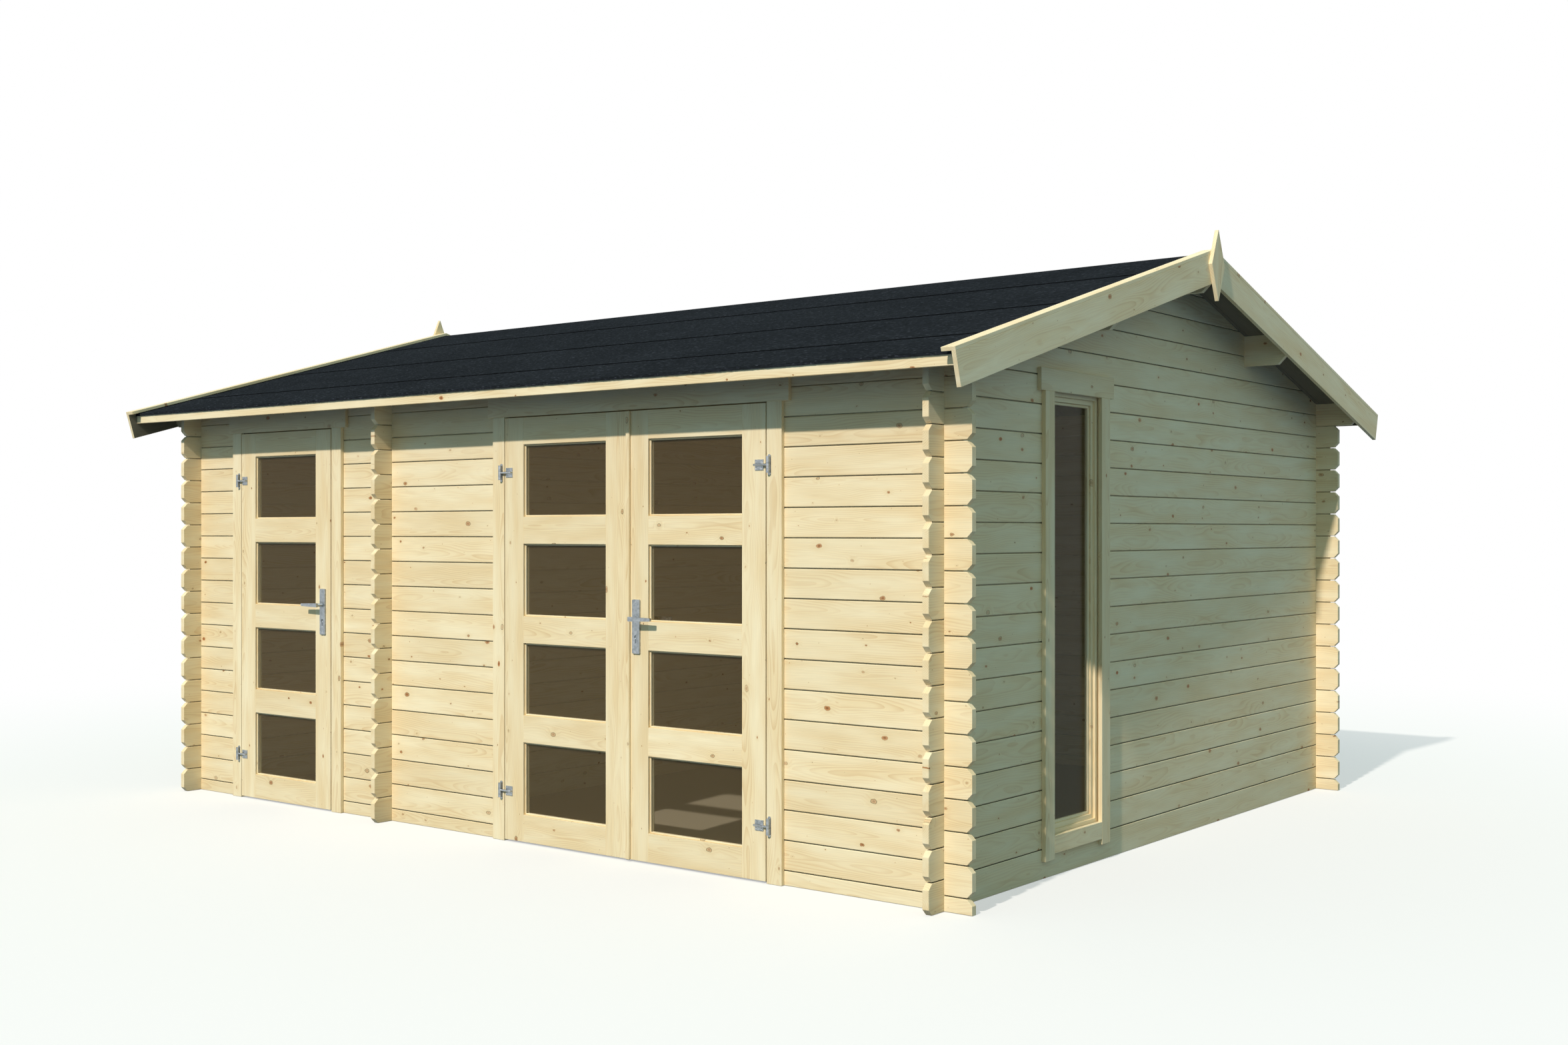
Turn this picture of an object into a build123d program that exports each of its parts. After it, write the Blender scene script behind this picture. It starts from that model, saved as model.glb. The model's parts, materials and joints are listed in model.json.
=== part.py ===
from build123d import *
from math import ceil, cos, radians, sin, tan
import os

os.makedirs("parts", exist_ok=True)

# A garden shed of interlocking logs: one main room behind a glazed double door, and a store room
# behind a glazed single door, under a felted gable roof. Millimetres, +Z up, the front faces -Y.
# The origin lies on the ground under the middle of the building.

# Overall size: the depth over the outer faces of the logs, and the stretches of front wall that
# stand left of the single doorway, between the doorways, and right of the double one
wall_depth = 3789.0
left_stretch = 403.0
middle_stretch = 1220.0
right_stretch = 803.0
roof_pitch = 16.0

# Logs
log_height = 120.0
log_thickness = 28.0
joint_groove = 3.0
cross_log_end = 105.0
long_log_end = 120.0
end_chamfer = 23.0
lap_height = log_height / 2
least_lintel = 30.0

# Partition between the store room and the main room, from the single doorway to its middle
partition_offset = 413.0

# Roof
gable_overhang = 212.0
eaves_overhang = 219.0
roof_board_thickness = 18.0
felt_thickness = 3.0
felt_overhang = 25.0
felt_first_exposure = 375.0
felt_exposure = 631.0
felt_laps = 2
ridge_felt_reach = 514.0
fascia_height = 52.0
fascia_thickness = 18.0
barge_height = 130.0
barge_thickness = 18.0
barge_reach = 73.0
cap_width = 60.0
cap_thickness = 16.0
ridge_joint = 1.0
finial_width = 140.0
finial_height = 320.0
finial_thickness = 18.0
finial_tip = 4.0
finial_drop = 76.0
purlin_offset = 900.0
purlin_height = 150.0
purlin_end_chamfer = 40.0

# Door leaves, all three alike
leaf_width = 755.0
leaf_height = 1911.0
leaf_thickness = 40.0
leaf_proud = 19.0
leaf_lift = 8.0
stile_width = 121.5
rail_height = 122.0
pane_rows = 4
hinge_gap = 5.0
latch_gap = 5.5
latch_bevel = 2.0
head_gap = 5.0
bead_width = 7.0
bead_setback = 10.0
bead_depth = 7.0
glass_thickness = 4.0
glass_bite = 6.0
astragal_width = 21.0
astragal_thickness = 12.0

# Doorways
jamb_thickness = 22.0
jamb_depth = 48.0
stop_depth = 15.0
stop_cover = 12.0
trim_width = 76.0
trim_thickness = 19.0
head_trim_height = 92.0
head_trim_overhang = 35.0

# Window in the right gable wall
window_y = -885.0
window_width = 411.0
window_height = 1806.0
window_sill = 169.0
window_cover = 20.0
window_frame_width = 15.0
window_frame_setback = 6.0
window_frame_depth = 40.0
window_sash_width = 20.0
window_sash_setback = 10.0
window_sash_depth = 26.0
window_bead_width = 12.0
window_bead_setback = 8.0
window_bead_depth = 16.0
window_trim_drop = 98.0
window_board_height = 74.0

# Hinges
hinge_heights = (230.0, 1672.0)
hinge_outset = 21.0
barrel_radius = 8.0
barrel_length = 66.0
pin_radius = 3.6
pin_clearance = 0.3
eye_height = 12.0
eye_end_clearance = 0.5
hinge_base_width = 15.0
hinge_base_height = 82.0
hinge_base_thickness = 3.0
hinge_standoff = 11.0
strap_radius = 4.5
strap_plate = 43.0
strap_plate_thickness = 3.0
strap_inset = 9.0
strap_rib = 6.0

# Lever handles
backset = 57.0
spindle_height = 1035.0
plate_width = 42.0
plate_height = 230.0
plate_thickness = 8.0
plate_drop = 33.5
plate_corner = 5.0
keyway_drop = 79.0
keyway_radius = 8.5
keyway_slot = 10.0
keyway_length = 33.0
neck_radius = 8.0
neck_length = 43.0
neck_clearance = 0.3
spindle_radius = 4.5
spindle_clearance = 1.5
lever_length = 118.0
lever_root = 20.0
lever_tip = 13.0
lever_thickness = 11.0
lever_edge = 3.0

# Worked out from the sizes above
clear_height = leaf_lift + leaf_height + head_gap
single_clear = hinge_gap + leaf_width + latch_gap
double_clear = 2 * (hinge_gap + leaf_width) + latch_gap
single_hole = single_clear + 2 * jamb_thickness
double_hole = double_clear + 2 * jamb_thickness
wall_width = left_stretch + single_hole + middle_stretch + double_hole + right_stretch
half_width = wall_width / 2
half_depth = wall_depth / 2
single_left = -half_width + left_stretch
single_right = single_left + single_hole
double_right = half_width - right_stretch
double_left = double_right - double_hole
single_door_x = (single_left + single_right) / 2
double_door_x = (double_left + double_right) / 2
doorways = ((single_door_x, single_clear), (double_door_x, double_clear))
partition_x = single_right + partition_offset

slope = radians(roof_pitch)
rise = tan(slope)
lintel_bottom = clear_height + jamb_thickness
wall_courses = ceil((lintel_bottom + least_lintel) / log_height + 0.5)
front_course_tops = [(course + 0.5) * log_height for course in range(wall_courses)]
cross_course_tops = [(course + 1) * log_height for course in range(wall_courses)]
wall_top = front_course_tops[-1]
eave_log_top = wall_top + log_height
ridge_underside = eave_log_top + (half_depth - log_thickness) * rise
roof_half_length = half_width + gable_overhang
cross_walls = (-half_width, partition_x - log_thickness / 2, half_width - log_thickness)
long_walls = (-half_depth, half_depth - log_thickness)
pane_width = leaf_width - 2 * stile_width
pane_height = (leaf_height - (pane_rows + 1) * rail_height) / pane_rows
pane_pitch = pane_height + rail_height
first_pane_z = leaf_lift + rail_height + pane_height / 2
pane_heights = [first_pane_z + row * pane_pitch for row in range(pane_rows)]
leaf_face_y = -half_depth - leaf_proud
leaf_middle_z = leaf_lift + leaf_height / 2
hinge_y = -half_depth - trim_thickness - hinge_standoff
felt_depth = roof_board_thickness + felt_thickness
cap_seat = roof_board_thickness + 2 * felt_thickness
purlin_rows = (-purlin_offset, purlin_offset)

front_face = Plane.XZ.offset(half_depth)
front_slope = Plane(
    origin=(0, 0, ridge_underside),
    x_dir=(0, -cos(slope), -sin(slope)),
    z_dir=(-1, 0, 0),
)


def roof_underside(y):
    """Height of the underside of the roof boards at a distance y from the ridge line."""
    return ridge_underside - abs(y) * rise


def down_slope(reach, depth):
    """Distance down the front slope, at a depth above the boards' underside, to a plumb line."""
    return (reach - depth * sin(slope)) / cos(slope)


def log_section(near_face, bottom, top, joints):
    """Cross-section of a wall of stacked logs, with a V-groove on both faces at each joint."""
    far_face = near_face + log_thickness
    points = [(near_face, bottom)]
    for joint in joints:
        points.append((near_face, joint - joint_groove))
        points.append((near_face + joint_groove, joint))
        points.append((near_face, joint + joint_groove))
    points.append((near_face, top - joint_groove))
    points.append((near_face + joint_groove, top))
    points.append((far_face - joint_groove, top))
    points.append((far_face, top - joint_groove))
    for joint in reversed(joints):
        points.append((far_face, joint + joint_groove))
        points.append((far_face - joint_groove, joint))
        points.append((far_face, joint - joint_groove))
    points.append((far_face, bottom))
    return points


def log_tips(tip, inward, courses):
    """Points up one end of a wall, where each log's end is chamfered; inward is +1 or -1."""
    shoulder = tip + inward * end_chamfer
    lowest_bottom, lowest_top = courses[0]
    if lowest_top - lowest_bottom > lap_height:
        points = [(shoulder, lowest_bottom), (tip, lowest_bottom + end_chamfer)]
    else:
        points = [(tip, lowest_bottom)]
    points += [(tip, lowest_top - end_chamfer), (shoulder, lowest_top)]
    for bottom, top in courses[1:]:
        points += [(tip, bottom + end_chamfer), (tip, top - end_chamfer), (shoulder, top)]
    return points


front_courses = list(zip([0.0] + front_course_tops[:-1], front_course_tops))
cross_courses = list(zip([0.0] + cross_course_tops[:-1], cross_course_tops))
front_profile = log_section(0.0, 0.0, wall_top, front_course_tops[:-1])
front_lap_heights = [bottom + lap_height for bottom, top in cross_courses]
cross_lap_heights = [0.0] + cross_course_tops

# Wall elevations, seen from the front for the long walls and from the right for the cross walls
left_tip = -half_width - long_log_end
right_tip = half_width + long_log_end
left_tips = log_tips(left_tip, 1, front_courses)
right_tips = log_tips(right_tip, -1, front_courses)
front_tips = log_tips(-half_depth - cross_log_end, 1, cross_courses)
back_tips = log_tips(half_depth + cross_log_end, -1, cross_courses)
cross_outline = front_tips + [
    (-half_depth, cross_course_tops[-1]),
    (-half_depth, roof_underside(half_depth)),
    (0, ridge_underside),
    (half_depth, roof_underside(half_depth)),
    (half_depth, cross_course_tops[-1]),
]
cross_outline += reversed(back_tips)
lap_columns = [(wall + log_thickness / 2, z) for wall in cross_walls for z in front_lap_heights]
lap_rows = [(wall + log_thickness / 2, z) for wall in long_walls for z in cross_lap_heights]

# Front wall, in three stretches beside the doorways, and the two short logs over them
front_stretches = (
    ("front_wall_left", left_tip, single_left, left_tips + [(single_left, wall_top), (single_left, 0)]),
    (
        "front_wall_middle",
        single_right,
        double_left,
        [(single_right, 0), (single_right, wall_top), (double_left, wall_top), (double_left, 0)],
    ),
    ("front_wall_right", double_right, right_tip, [(double_right, 0), (double_right, wall_top)] + right_tips[::-1]),
)
for name, start, end, outline in front_stretches:
    with BuildPart() as front_wall:
        with BuildSketch(Plane.YZ.offset(start)):
            with BuildLine():
                Polyline(*[(y - half_depth, z) for y, z in front_profile], close=True)
            make_face()
        extrude(amount=end - start)
        with BuildSketch(front_face):
            with BuildLine():
                Polyline(*outline, close=True)
            make_face()
        extrude(amount=-log_thickness, mode=Mode.INTERSECT)
        with BuildSketch(front_face):
            with Locations(*[(x, z) for x, z in lap_columns if start < x < end]):
                Rectangle(log_thickness, lap_height)
        extrude(amount=-log_thickness, mode=Mode.SUBTRACT)
    front_wall.part.label = name
    export_step(front_wall.part, f"parts/{name}.step")

with BuildPart() as front_lintels:
    for door_x, clear in doorways:
        with BuildSketch(Plane.YZ.offset(door_x)):
            with BuildLine():
                Polyline(*[(y - half_depth, z) for y, z in front_profile], close=True)
            make_face()
        extrude(amount=clear / 2 + jamb_thickness, both=True)
    with BuildSketch(front_face):
        with Locations((0, (lintel_bottom + wall_top) / 2)):
            Rectangle(wall_width, wall_top - lintel_bottom)
    extrude(amount=-log_thickness, mode=Mode.INTERSECT)
front_lintels.part.label = "front_lintels"
export_step(front_lintels.part, "parts/front_lintels.step")

# Back wall, whole
back_face = Plane.XZ.offset(log_thickness - half_depth)
with BuildPart() as back_wall:
    with BuildSketch(Plane.YZ.offset(left_tip)):
        with BuildLine():
            Polyline(*[(y + long_walls[1], z) for y, z in front_profile], close=True)
        make_face()
    extrude(amount=right_tip - left_tip)
    with BuildSketch(back_face):
        with BuildLine():
            Polyline(*left_tips, *right_tips[::-1], close=True)
        make_face()
    extrude(amount=-log_thickness, mode=Mode.INTERSECT)
    with BuildSketch(back_face):
        with Locations(*lap_columns):
            Rectangle(log_thickness, lap_height)
    extrude(amount=-log_thickness, mode=Mode.SUBTRACT)
back_wall.part.label = "back_wall"
export_step(back_wall.part, "parts/back_wall.step")

# Eave logs, which run out under the roof to the barge boards; their tops follow the roof
with BuildPart() as front_eave_log:
    inner_face = log_thickness - half_depth
    with BuildSketch(Plane.YZ):
        with BuildLine():
            Polyline(
                (-half_depth + joint_groove, wall_top),
                (-half_depth, wall_top + joint_groove),
                (-half_depth, roof_underside(half_depth)),
                (inner_face, eave_log_top),
                (inner_face, wall_top + joint_groove),
                (inner_face - joint_groove, wall_top),
                close=True,
            )
        make_face()
    extrude(amount=roof_half_length, both=True)
    with BuildSketch(front_face):
        with BuildLine():
            Polyline(
                (end_chamfer - roof_half_length, wall_top),
                (-roof_half_length, wall_top + end_chamfer),
                (-roof_half_length, eave_log_top),
                (roof_half_length, eave_log_top),
                (roof_half_length, wall_top + end_chamfer),
                (roof_half_length - end_chamfer, wall_top),
                close=True,
            )
        make_face()
    extrude(amount=-log_thickness, mode=Mode.INTERSECT)
    with BuildSketch(front_face):
        for wall in cross_walls:
            with Locations((wall + log_thickness / 2, wall_top), (wall + log_thickness / 2, eave_log_top)):
                Rectangle(log_thickness, lap_height)
    extrude(amount=-log_thickness, mode=Mode.SUBTRACT)
front_eave_log.part.label = "front_eave_log"
export_step(front_eave_log.part, "parts/front_eave_log.step")

with BuildPart() as back_eave_log:
    mirror(front_eave_log.part, about=Plane.XZ)
back_eave_log.part.label = "back_eave_log"
export_step(back_eave_log.part, "parts/back_eave_log.step")

# Cross walls: two gable walls and the partition, notched for the long walls and the purlins
cross_joints = [joint for joint in cross_course_tops]
while cross_joints[-1] + log_height < ridge_underside - joint_groove:
    cross_joints.append(cross_joints[-1] + log_height)
cross_length = wall_depth + 2 * cross_log_end
window_hole_width = window_width + 2 * window_cover
window_hole_height = window_height + 2 * window_cover
window_middle_z = window_sill + window_height / 2
slot_width = log_thickness
slot_bottom = roof_underside(purlin_offset - log_thickness / 2) - purlin_height
ridge_slot_bottom = ridge_underside - purlin_height
for name, near_face in zip(("gable_wall_left", "partition_wall", "gable_wall_right"), cross_walls):
    with BuildPart() as cross_wall:
        with BuildSketch(Plane.XZ.offset(cross_length / 2)):
            with BuildLine():
                Polyline(*log_section(near_face, 0.0, ridge_underside + log_height, cross_joints), close=True)
            make_face()
        extrude(amount=-cross_length)
        with BuildSketch(Plane.YZ.offset(near_face)):
            with BuildLine():
                Polyline(*cross_outline, close=True)
            make_face()
        extrude(amount=log_thickness, mode=Mode.INTERSECT)
        with BuildSketch(Plane.YZ.offset(near_face)):
            with Locations(*lap_rows):
                Rectangle(log_thickness, lap_height)
            for row in purlin_rows:
                with Locations((row, slot_bottom + purlin_height / 2)):
                    Rectangle(slot_width, purlin_height)
            with Locations((0, ridge_slot_bottom + purlin_height / 2)):
                Rectangle(slot_width, purlin_height)
            if name == "gable_wall_right":
                with Locations((window_y, window_middle_z)):
                    Rectangle(window_hole_width, window_hole_height)
        extrude(amount=log_thickness, mode=Mode.SUBTRACT)
    cross_wall.part.label = name
    export_step(cross_wall.part, f"parts/{name}.step")

# Purlins, with their lower corners cut off under the barge boards
purlin_elevation = [
    (purlin_end_chamfer - roof_half_length, 0),
    (-roof_half_length, purlin_end_chamfer),
    (-roof_half_length, purlin_height),
    (roof_half_length, purlin_height),
    (roof_half_length, purlin_end_chamfer),
    (roof_half_length - purlin_end_chamfer, 0),
]
with BuildPart() as mid_purlins:
    near_side = purlin_offset - log_thickness / 2
    far_side = purlin_offset + log_thickness / 2
    with BuildSketch(Plane.YZ):
        with BuildLine():
            Polyline(
                (near_side, slot_bottom),
                (near_side, roof_underside(near_side)),
                (far_side, roof_underside(far_side)),
                (far_side, slot_bottom),
                close=True,
            )
        make_face()
    extrude(amount=roof_half_length, both=True)
    with BuildSketch(Plane.XZ.offset(-near_side)):
        with BuildLine():
            Polyline(*[(x, z + slot_bottom) for x, z in purlin_elevation], close=True)
        make_face()
    extrude(amount=-log_thickness, mode=Mode.INTERSECT)
    mirror(about=Plane.XZ)
mid_purlins.part.label = "mid_purlins"
export_step(mid_purlins.part, "parts/mid_purlins.step")

with BuildPart() as ridge_purlin:
    side = log_thickness / 2
    with BuildSketch(Plane.YZ):
        with BuildLine():
            Polyline(
                (-side, ridge_slot_bottom),
                (-side, roof_underside(side)),
                (0, ridge_underside),
                (side, roof_underside(side)),
                (side, ridge_slot_bottom),
                close=True,
            )
        make_face()
    extrude(amount=roof_half_length, both=True)
    with BuildSketch(Plane.XZ.offset(side)):
        with BuildLine():
            Polyline(*[(x, z + ridge_slot_bottom) for x, z in purlin_elevation], close=True)
        make_face()
    extrude(amount=-log_thickness, mode=Mode.INTERSECT)
ridge_purlin.part.label = "ridge_purlin"
export_step(ridge_purlin.part, "parts/ridge_purlin.step")

# Roof boards on both slopes, cut plumb at the ridge and at the eaves
board_reach = half_depth + eaves_overhang
with BuildPart() as roof_boards_front:
    with BuildSketch(front_slope):
        with BuildLine():
            Polyline(
                (0, 0),
                (down_slope(0, roof_board_thickness), roof_board_thickness),
                (down_slope(board_reach, roof_board_thickness), roof_board_thickness),
                (down_slope(board_reach, 0), 0),
                close=True,
            )
        make_face()
    extrude(amount=roof_half_length, both=True)
roof_boards_front.part.label = "roof_boards_front"
export_step(roof_boards_front.part, "parts/roof_boards_front.step")

with BuildPart() as roof_boards_back:
    mirror(roof_boards_front.part, about=Plane.XZ)
roof_boards_back.part.label = "roof_boards_back"
export_step(roof_boards_back.part, "parts/roof_boards_back.step")

# Felt in overlapping courses, each lower edge lying on the course below it
felt_edge = down_slope(board_reach + fascia_thickness + felt_overhang, roof_board_thickness)
lap_places = [felt_edge - felt_first_exposure - lap * felt_exposure for lap in range(felt_laps)]
felt_steps = [(felt_edge, roof_board_thickness), (felt_edge, felt_depth)]
for place in lap_places:
    felt_steps += [(place, felt_depth), (place, cap_seat)]
with BuildPart() as roof_felt_front:
    with BuildSketch(front_slope):
        with BuildLine():
            Polyline(
                (down_slope(0, roof_board_thickness), roof_board_thickness),
                *felt_steps,
                (ridge_felt_reach, felt_depth),
                (down_slope(0, felt_depth), felt_depth),
                close=True,
            )
        make_face()
    extrude(amount=roof_half_length, both=True)
roof_felt_front.part.label = "roof_felt_front"
export_step(roof_felt_front.part, "parts/roof_felt_front.step")

with BuildPart() as roof_felt_back:
    mirror(roof_felt_front.part, about=Plane.XZ)
roof_felt_back.part.label = "roof_felt_back"
export_step(roof_felt_back.part, "parts/roof_felt_back.step")

with BuildPart() as roof_felt_ridge:
    with BuildSketch(front_slope):
        with BuildLine():
            Polyline(
                (down_slope(0, felt_depth), felt_depth),
                (ridge_felt_reach, felt_depth),
                (ridge_felt_reach, cap_seat),
                (down_slope(0, cap_seat), cap_seat),
                close=True,
            )
        make_face()
    extrude(amount=roof_half_length, both=True)
    mirror(about=Plane.XZ)
roof_felt_ridge.part.label = "roof_felt_ridge"
export_step(roof_felt_ridge.part, "parts/roof_felt_ridge.step")

# Barge boards at the four roof edges, the cap strips on them, and the finials over their joints
barge_end = down_slope(board_reach + barge_reach, cap_seat + cap_thickness)
barge_face = roof_half_length + barge_thickness


def sloping_board(bottom, top):
    """Outline on the slope of a board from the ridge joint down to the barge boards' square ends."""
    half_joint = ridge_joint / 2
    return [
        (down_slope(half_joint, bottom), bottom),
        (down_slope(half_joint, top), top),
        (barge_end, top),
        (barge_end, bottom),
    ]


with BuildPart() as barge_boards:
    with BuildSketch(front_slope.offset(-roof_half_length)):
        with BuildLine():
            Polyline(*sloping_board(cap_seat - barge_height, cap_seat), close=True)
        make_face()
    extrude(amount=-barge_thickness)
    mirror(about=Plane.YZ)
    mirror(about=Plane.XZ)
barge_boards.part.label = "barge_boards"
export_step(barge_boards.part, "parts/barge_boards.step")

with BuildPart() as barge_caps:
    with BuildSketch(front_slope.offset(cap_width - barge_face)):
        with BuildLine():
            Polyline(*sloping_board(cap_seat, cap_seat + cap_thickness), close=True)
        make_face()
    extrude(amount=-cap_width)
    mirror(about=Plane.YZ)
    mirror(about=Plane.XZ)
barge_caps.part.label = "barge_caps"
export_step(barge_caps.part, "parts/barge_caps.step")

cap_apex = ridge_underside + (cap_seat + cap_thickness) / cos(slope)
with BuildPart() as finials:
    finial_z = cap_apex - finial_drop
    with BuildSketch(Plane.YZ.offset(barge_face)):
        with BuildLine():
            Polyline(
                (-finial_tip / 2, finial_z - finial_height / 2),
                (finial_tip / 2, finial_z - finial_height / 2),
                (finial_width / 2, finial_z),
                (finial_tip / 2, finial_z + finial_height / 2),
                (-finial_tip / 2, finial_z + finial_height / 2),
                (-finial_width / 2, finial_z),
                close=True,
            )
        make_face()
    extrude(amount=finial_thickness)
    mirror(about=Plane.YZ)
finials.part.label = "finials"
export_step(finials.part, "parts/finials.step")

# Eaves fascias, nailed to the boards' ends under the felt
with BuildPart() as eaves_fascias:
    fascia_top = roof_underside(board_reach + fascia_thickness) + roof_board_thickness / cos(slope)
    with BuildSketch(Plane.XZ.offset(board_reach)):
        with Locations((0, fascia_top - fascia_height / 2)):
            Rectangle(2 * roof_half_length, fascia_height)
    extrude(amount=fascia_thickness)
    mirror(about=Plane.XZ)
eaves_fascias.part.label = "eaves_fascias"
export_step(eaves_fascias.part, "parts/eaves_fascias.step")

# Door frames: jambs and head lining the doorway, with a stop behind the leaf
for name, (door_x, clear) in zip(("single_door_frame", "double_door_frame"), doorways):
    with BuildPart() as door_frame:
        with BuildSketch(front_face):
            with Locations((door_x, (clear_height + jamb_thickness) / 2)):
                Rectangle(clear + 2 * jamb_thickness, clear_height + jamb_thickness)
            with Locations((door_x, clear_height / 2)):
                Rectangle(clear, clear_height, mode=Mode.SUBTRACT)
        extrude(amount=-jamb_depth)
        with BuildSketch(front_face.offset(stop_depth - jamb_depth)):
            with Locations((door_x, clear_height / 2)):
                Rectangle(clear, clear_height)
            with Locations((door_x, (clear_height - stop_cover) / 2)):
                Rectangle(clear - 2 * stop_cover, clear_height - stop_cover, mode=Mode.SUBTRACT)
        extrude(amount=-stop_depth)
    door_frame.part.label = name
    export_step(door_frame.part, f"parts/{name}.step")

with BuildPart() as door_side_trims:
    with BuildSketch(front_face):
        for door_x, clear in doorways:
            trim_offset = (clear + trim_width) / 2
            with Locations((door_x - trim_offset, clear_height / 2), (door_x + trim_offset, clear_height / 2)):
                Rectangle(trim_width, clear_height)
    extrude(amount=trim_thickness)
door_side_trims.part.label = "door_side_trims"
export_step(door_side_trims.part, "parts/door_side_trims.step")

with BuildPart() as door_head_trims:
    with BuildSketch(front_face):
        for door_x, clear in doorways:
            with Locations((door_x, clear_height + head_trim_height / 2)):
                Rectangle(clear + 2 * (trim_width + head_trim_overhang), head_trim_height)
    extrude(amount=trim_thickness)
door_head_trims.part.label = "door_head_trims"
export_step(door_head_trims.part, "parts/door_head_trims.step")

# Window in the right gable wall: trims on the logs, a frame in the hole, and a fixed glazed sash
gable_face = Plane.YZ.offset(half_width)
window_top = window_sill + window_height
with BuildPart() as window_side_trims:
    with BuildSketch(gable_face):
        side_offset = (window_width + trim_width) / 2
        side_middle = (window_sill - window_trim_drop + window_top) / 2
        with Locations((window_y - side_offset, side_middle), (window_y + side_offset, side_middle)):
            Rectangle(trim_width, window_height + window_trim_drop)
    extrude(amount=trim_thickness)
window_side_trims.part.label = "window_side_trims"
export_step(window_side_trims.part, "parts/window_side_trims.step")

with BuildPart() as window_cross_trims:
    with BuildSketch(gable_face):
        with Locations((window_y, window_top + head_trim_height / 2)):
            Rectangle(window_width + 2 * (trim_width + head_trim_overhang), head_trim_height)
        with Locations((window_y, window_sill - window_board_height / 2)):
            Rectangle(window_width, window_board_height)
    extrude(amount=trim_thickness)
window_cross_trims.part.label = "window_cross_trims"
export_step(window_cross_trims.part, "parts/window_cross_trims.step")

sash_width = window_width - 2 * window_frame_width
sash_height = window_height - 2 * window_frame_width
light_width = sash_width - 2 * window_sash_width
light_height = sash_height - 2 * window_sash_width
bead_light_width = light_width - 2 * window_bead_width
bead_light_height = light_height - 2 * window_bead_width
sash_face = window_frame_setback + window_sash_setback
window_bead_face = sash_face + window_bead_setback
window_glass_face = window_bead_face + (window_bead_depth - glass_thickness) / 2
with BuildPart() as window_frame:
    with BuildSketch(gable_face.offset(-window_frame_setback)):
        with Locations((window_y, window_middle_z)):
            Rectangle(window_hole_width, window_hole_height)
            Rectangle(sash_width, sash_height, mode=Mode.SUBTRACT)
    extrude(amount=-window_frame_depth)
window_frame.part.label = "window_frame"
export_step(window_frame.part, "parts/window_frame.step")

with BuildPart() as window_sash:
    with BuildSketch(gable_face.offset(-sash_face)):
        with Locations((window_y, window_middle_z)):
            Rectangle(sash_width, sash_height)
            Rectangle(light_width, light_height, mode=Mode.SUBTRACT)
    extrude(amount=-window_sash_depth)
    with BuildSketch(gable_face.offset(-window_bead_face)):
        with Locations((window_y, window_middle_z)):
            Rectangle(light_width, light_height)
            Rectangle(bead_light_width, bead_light_height, mode=Mode.SUBTRACT)
    extrude(amount=-window_bead_depth)
    with BuildSketch(gable_face.offset(-window_glass_face)):
        with Locations((window_y, window_middle_z)):
            Rectangle(bead_light_width + 2 * glass_bite, bead_light_height + 2 * glass_bite)
    extrude(amount=-glass_thickness, mode=Mode.SUBTRACT)
window_sash.part.label = "window_sash"
export_step(window_sash.part, "parts/window_sash.step")

with BuildPart() as window_glass:
    with BuildSketch(gable_face.offset(-window_glass_face)):
        with Locations((window_y, window_middle_z)):
            Rectangle(bead_light_width + 2 * glass_bite, bead_light_height + 2 * glass_bite)
    extrude(amount=-glass_thickness)
window_glass.part.label = "window_glass"
export_step(window_glass.part, "parts/window_glass.step")

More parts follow.
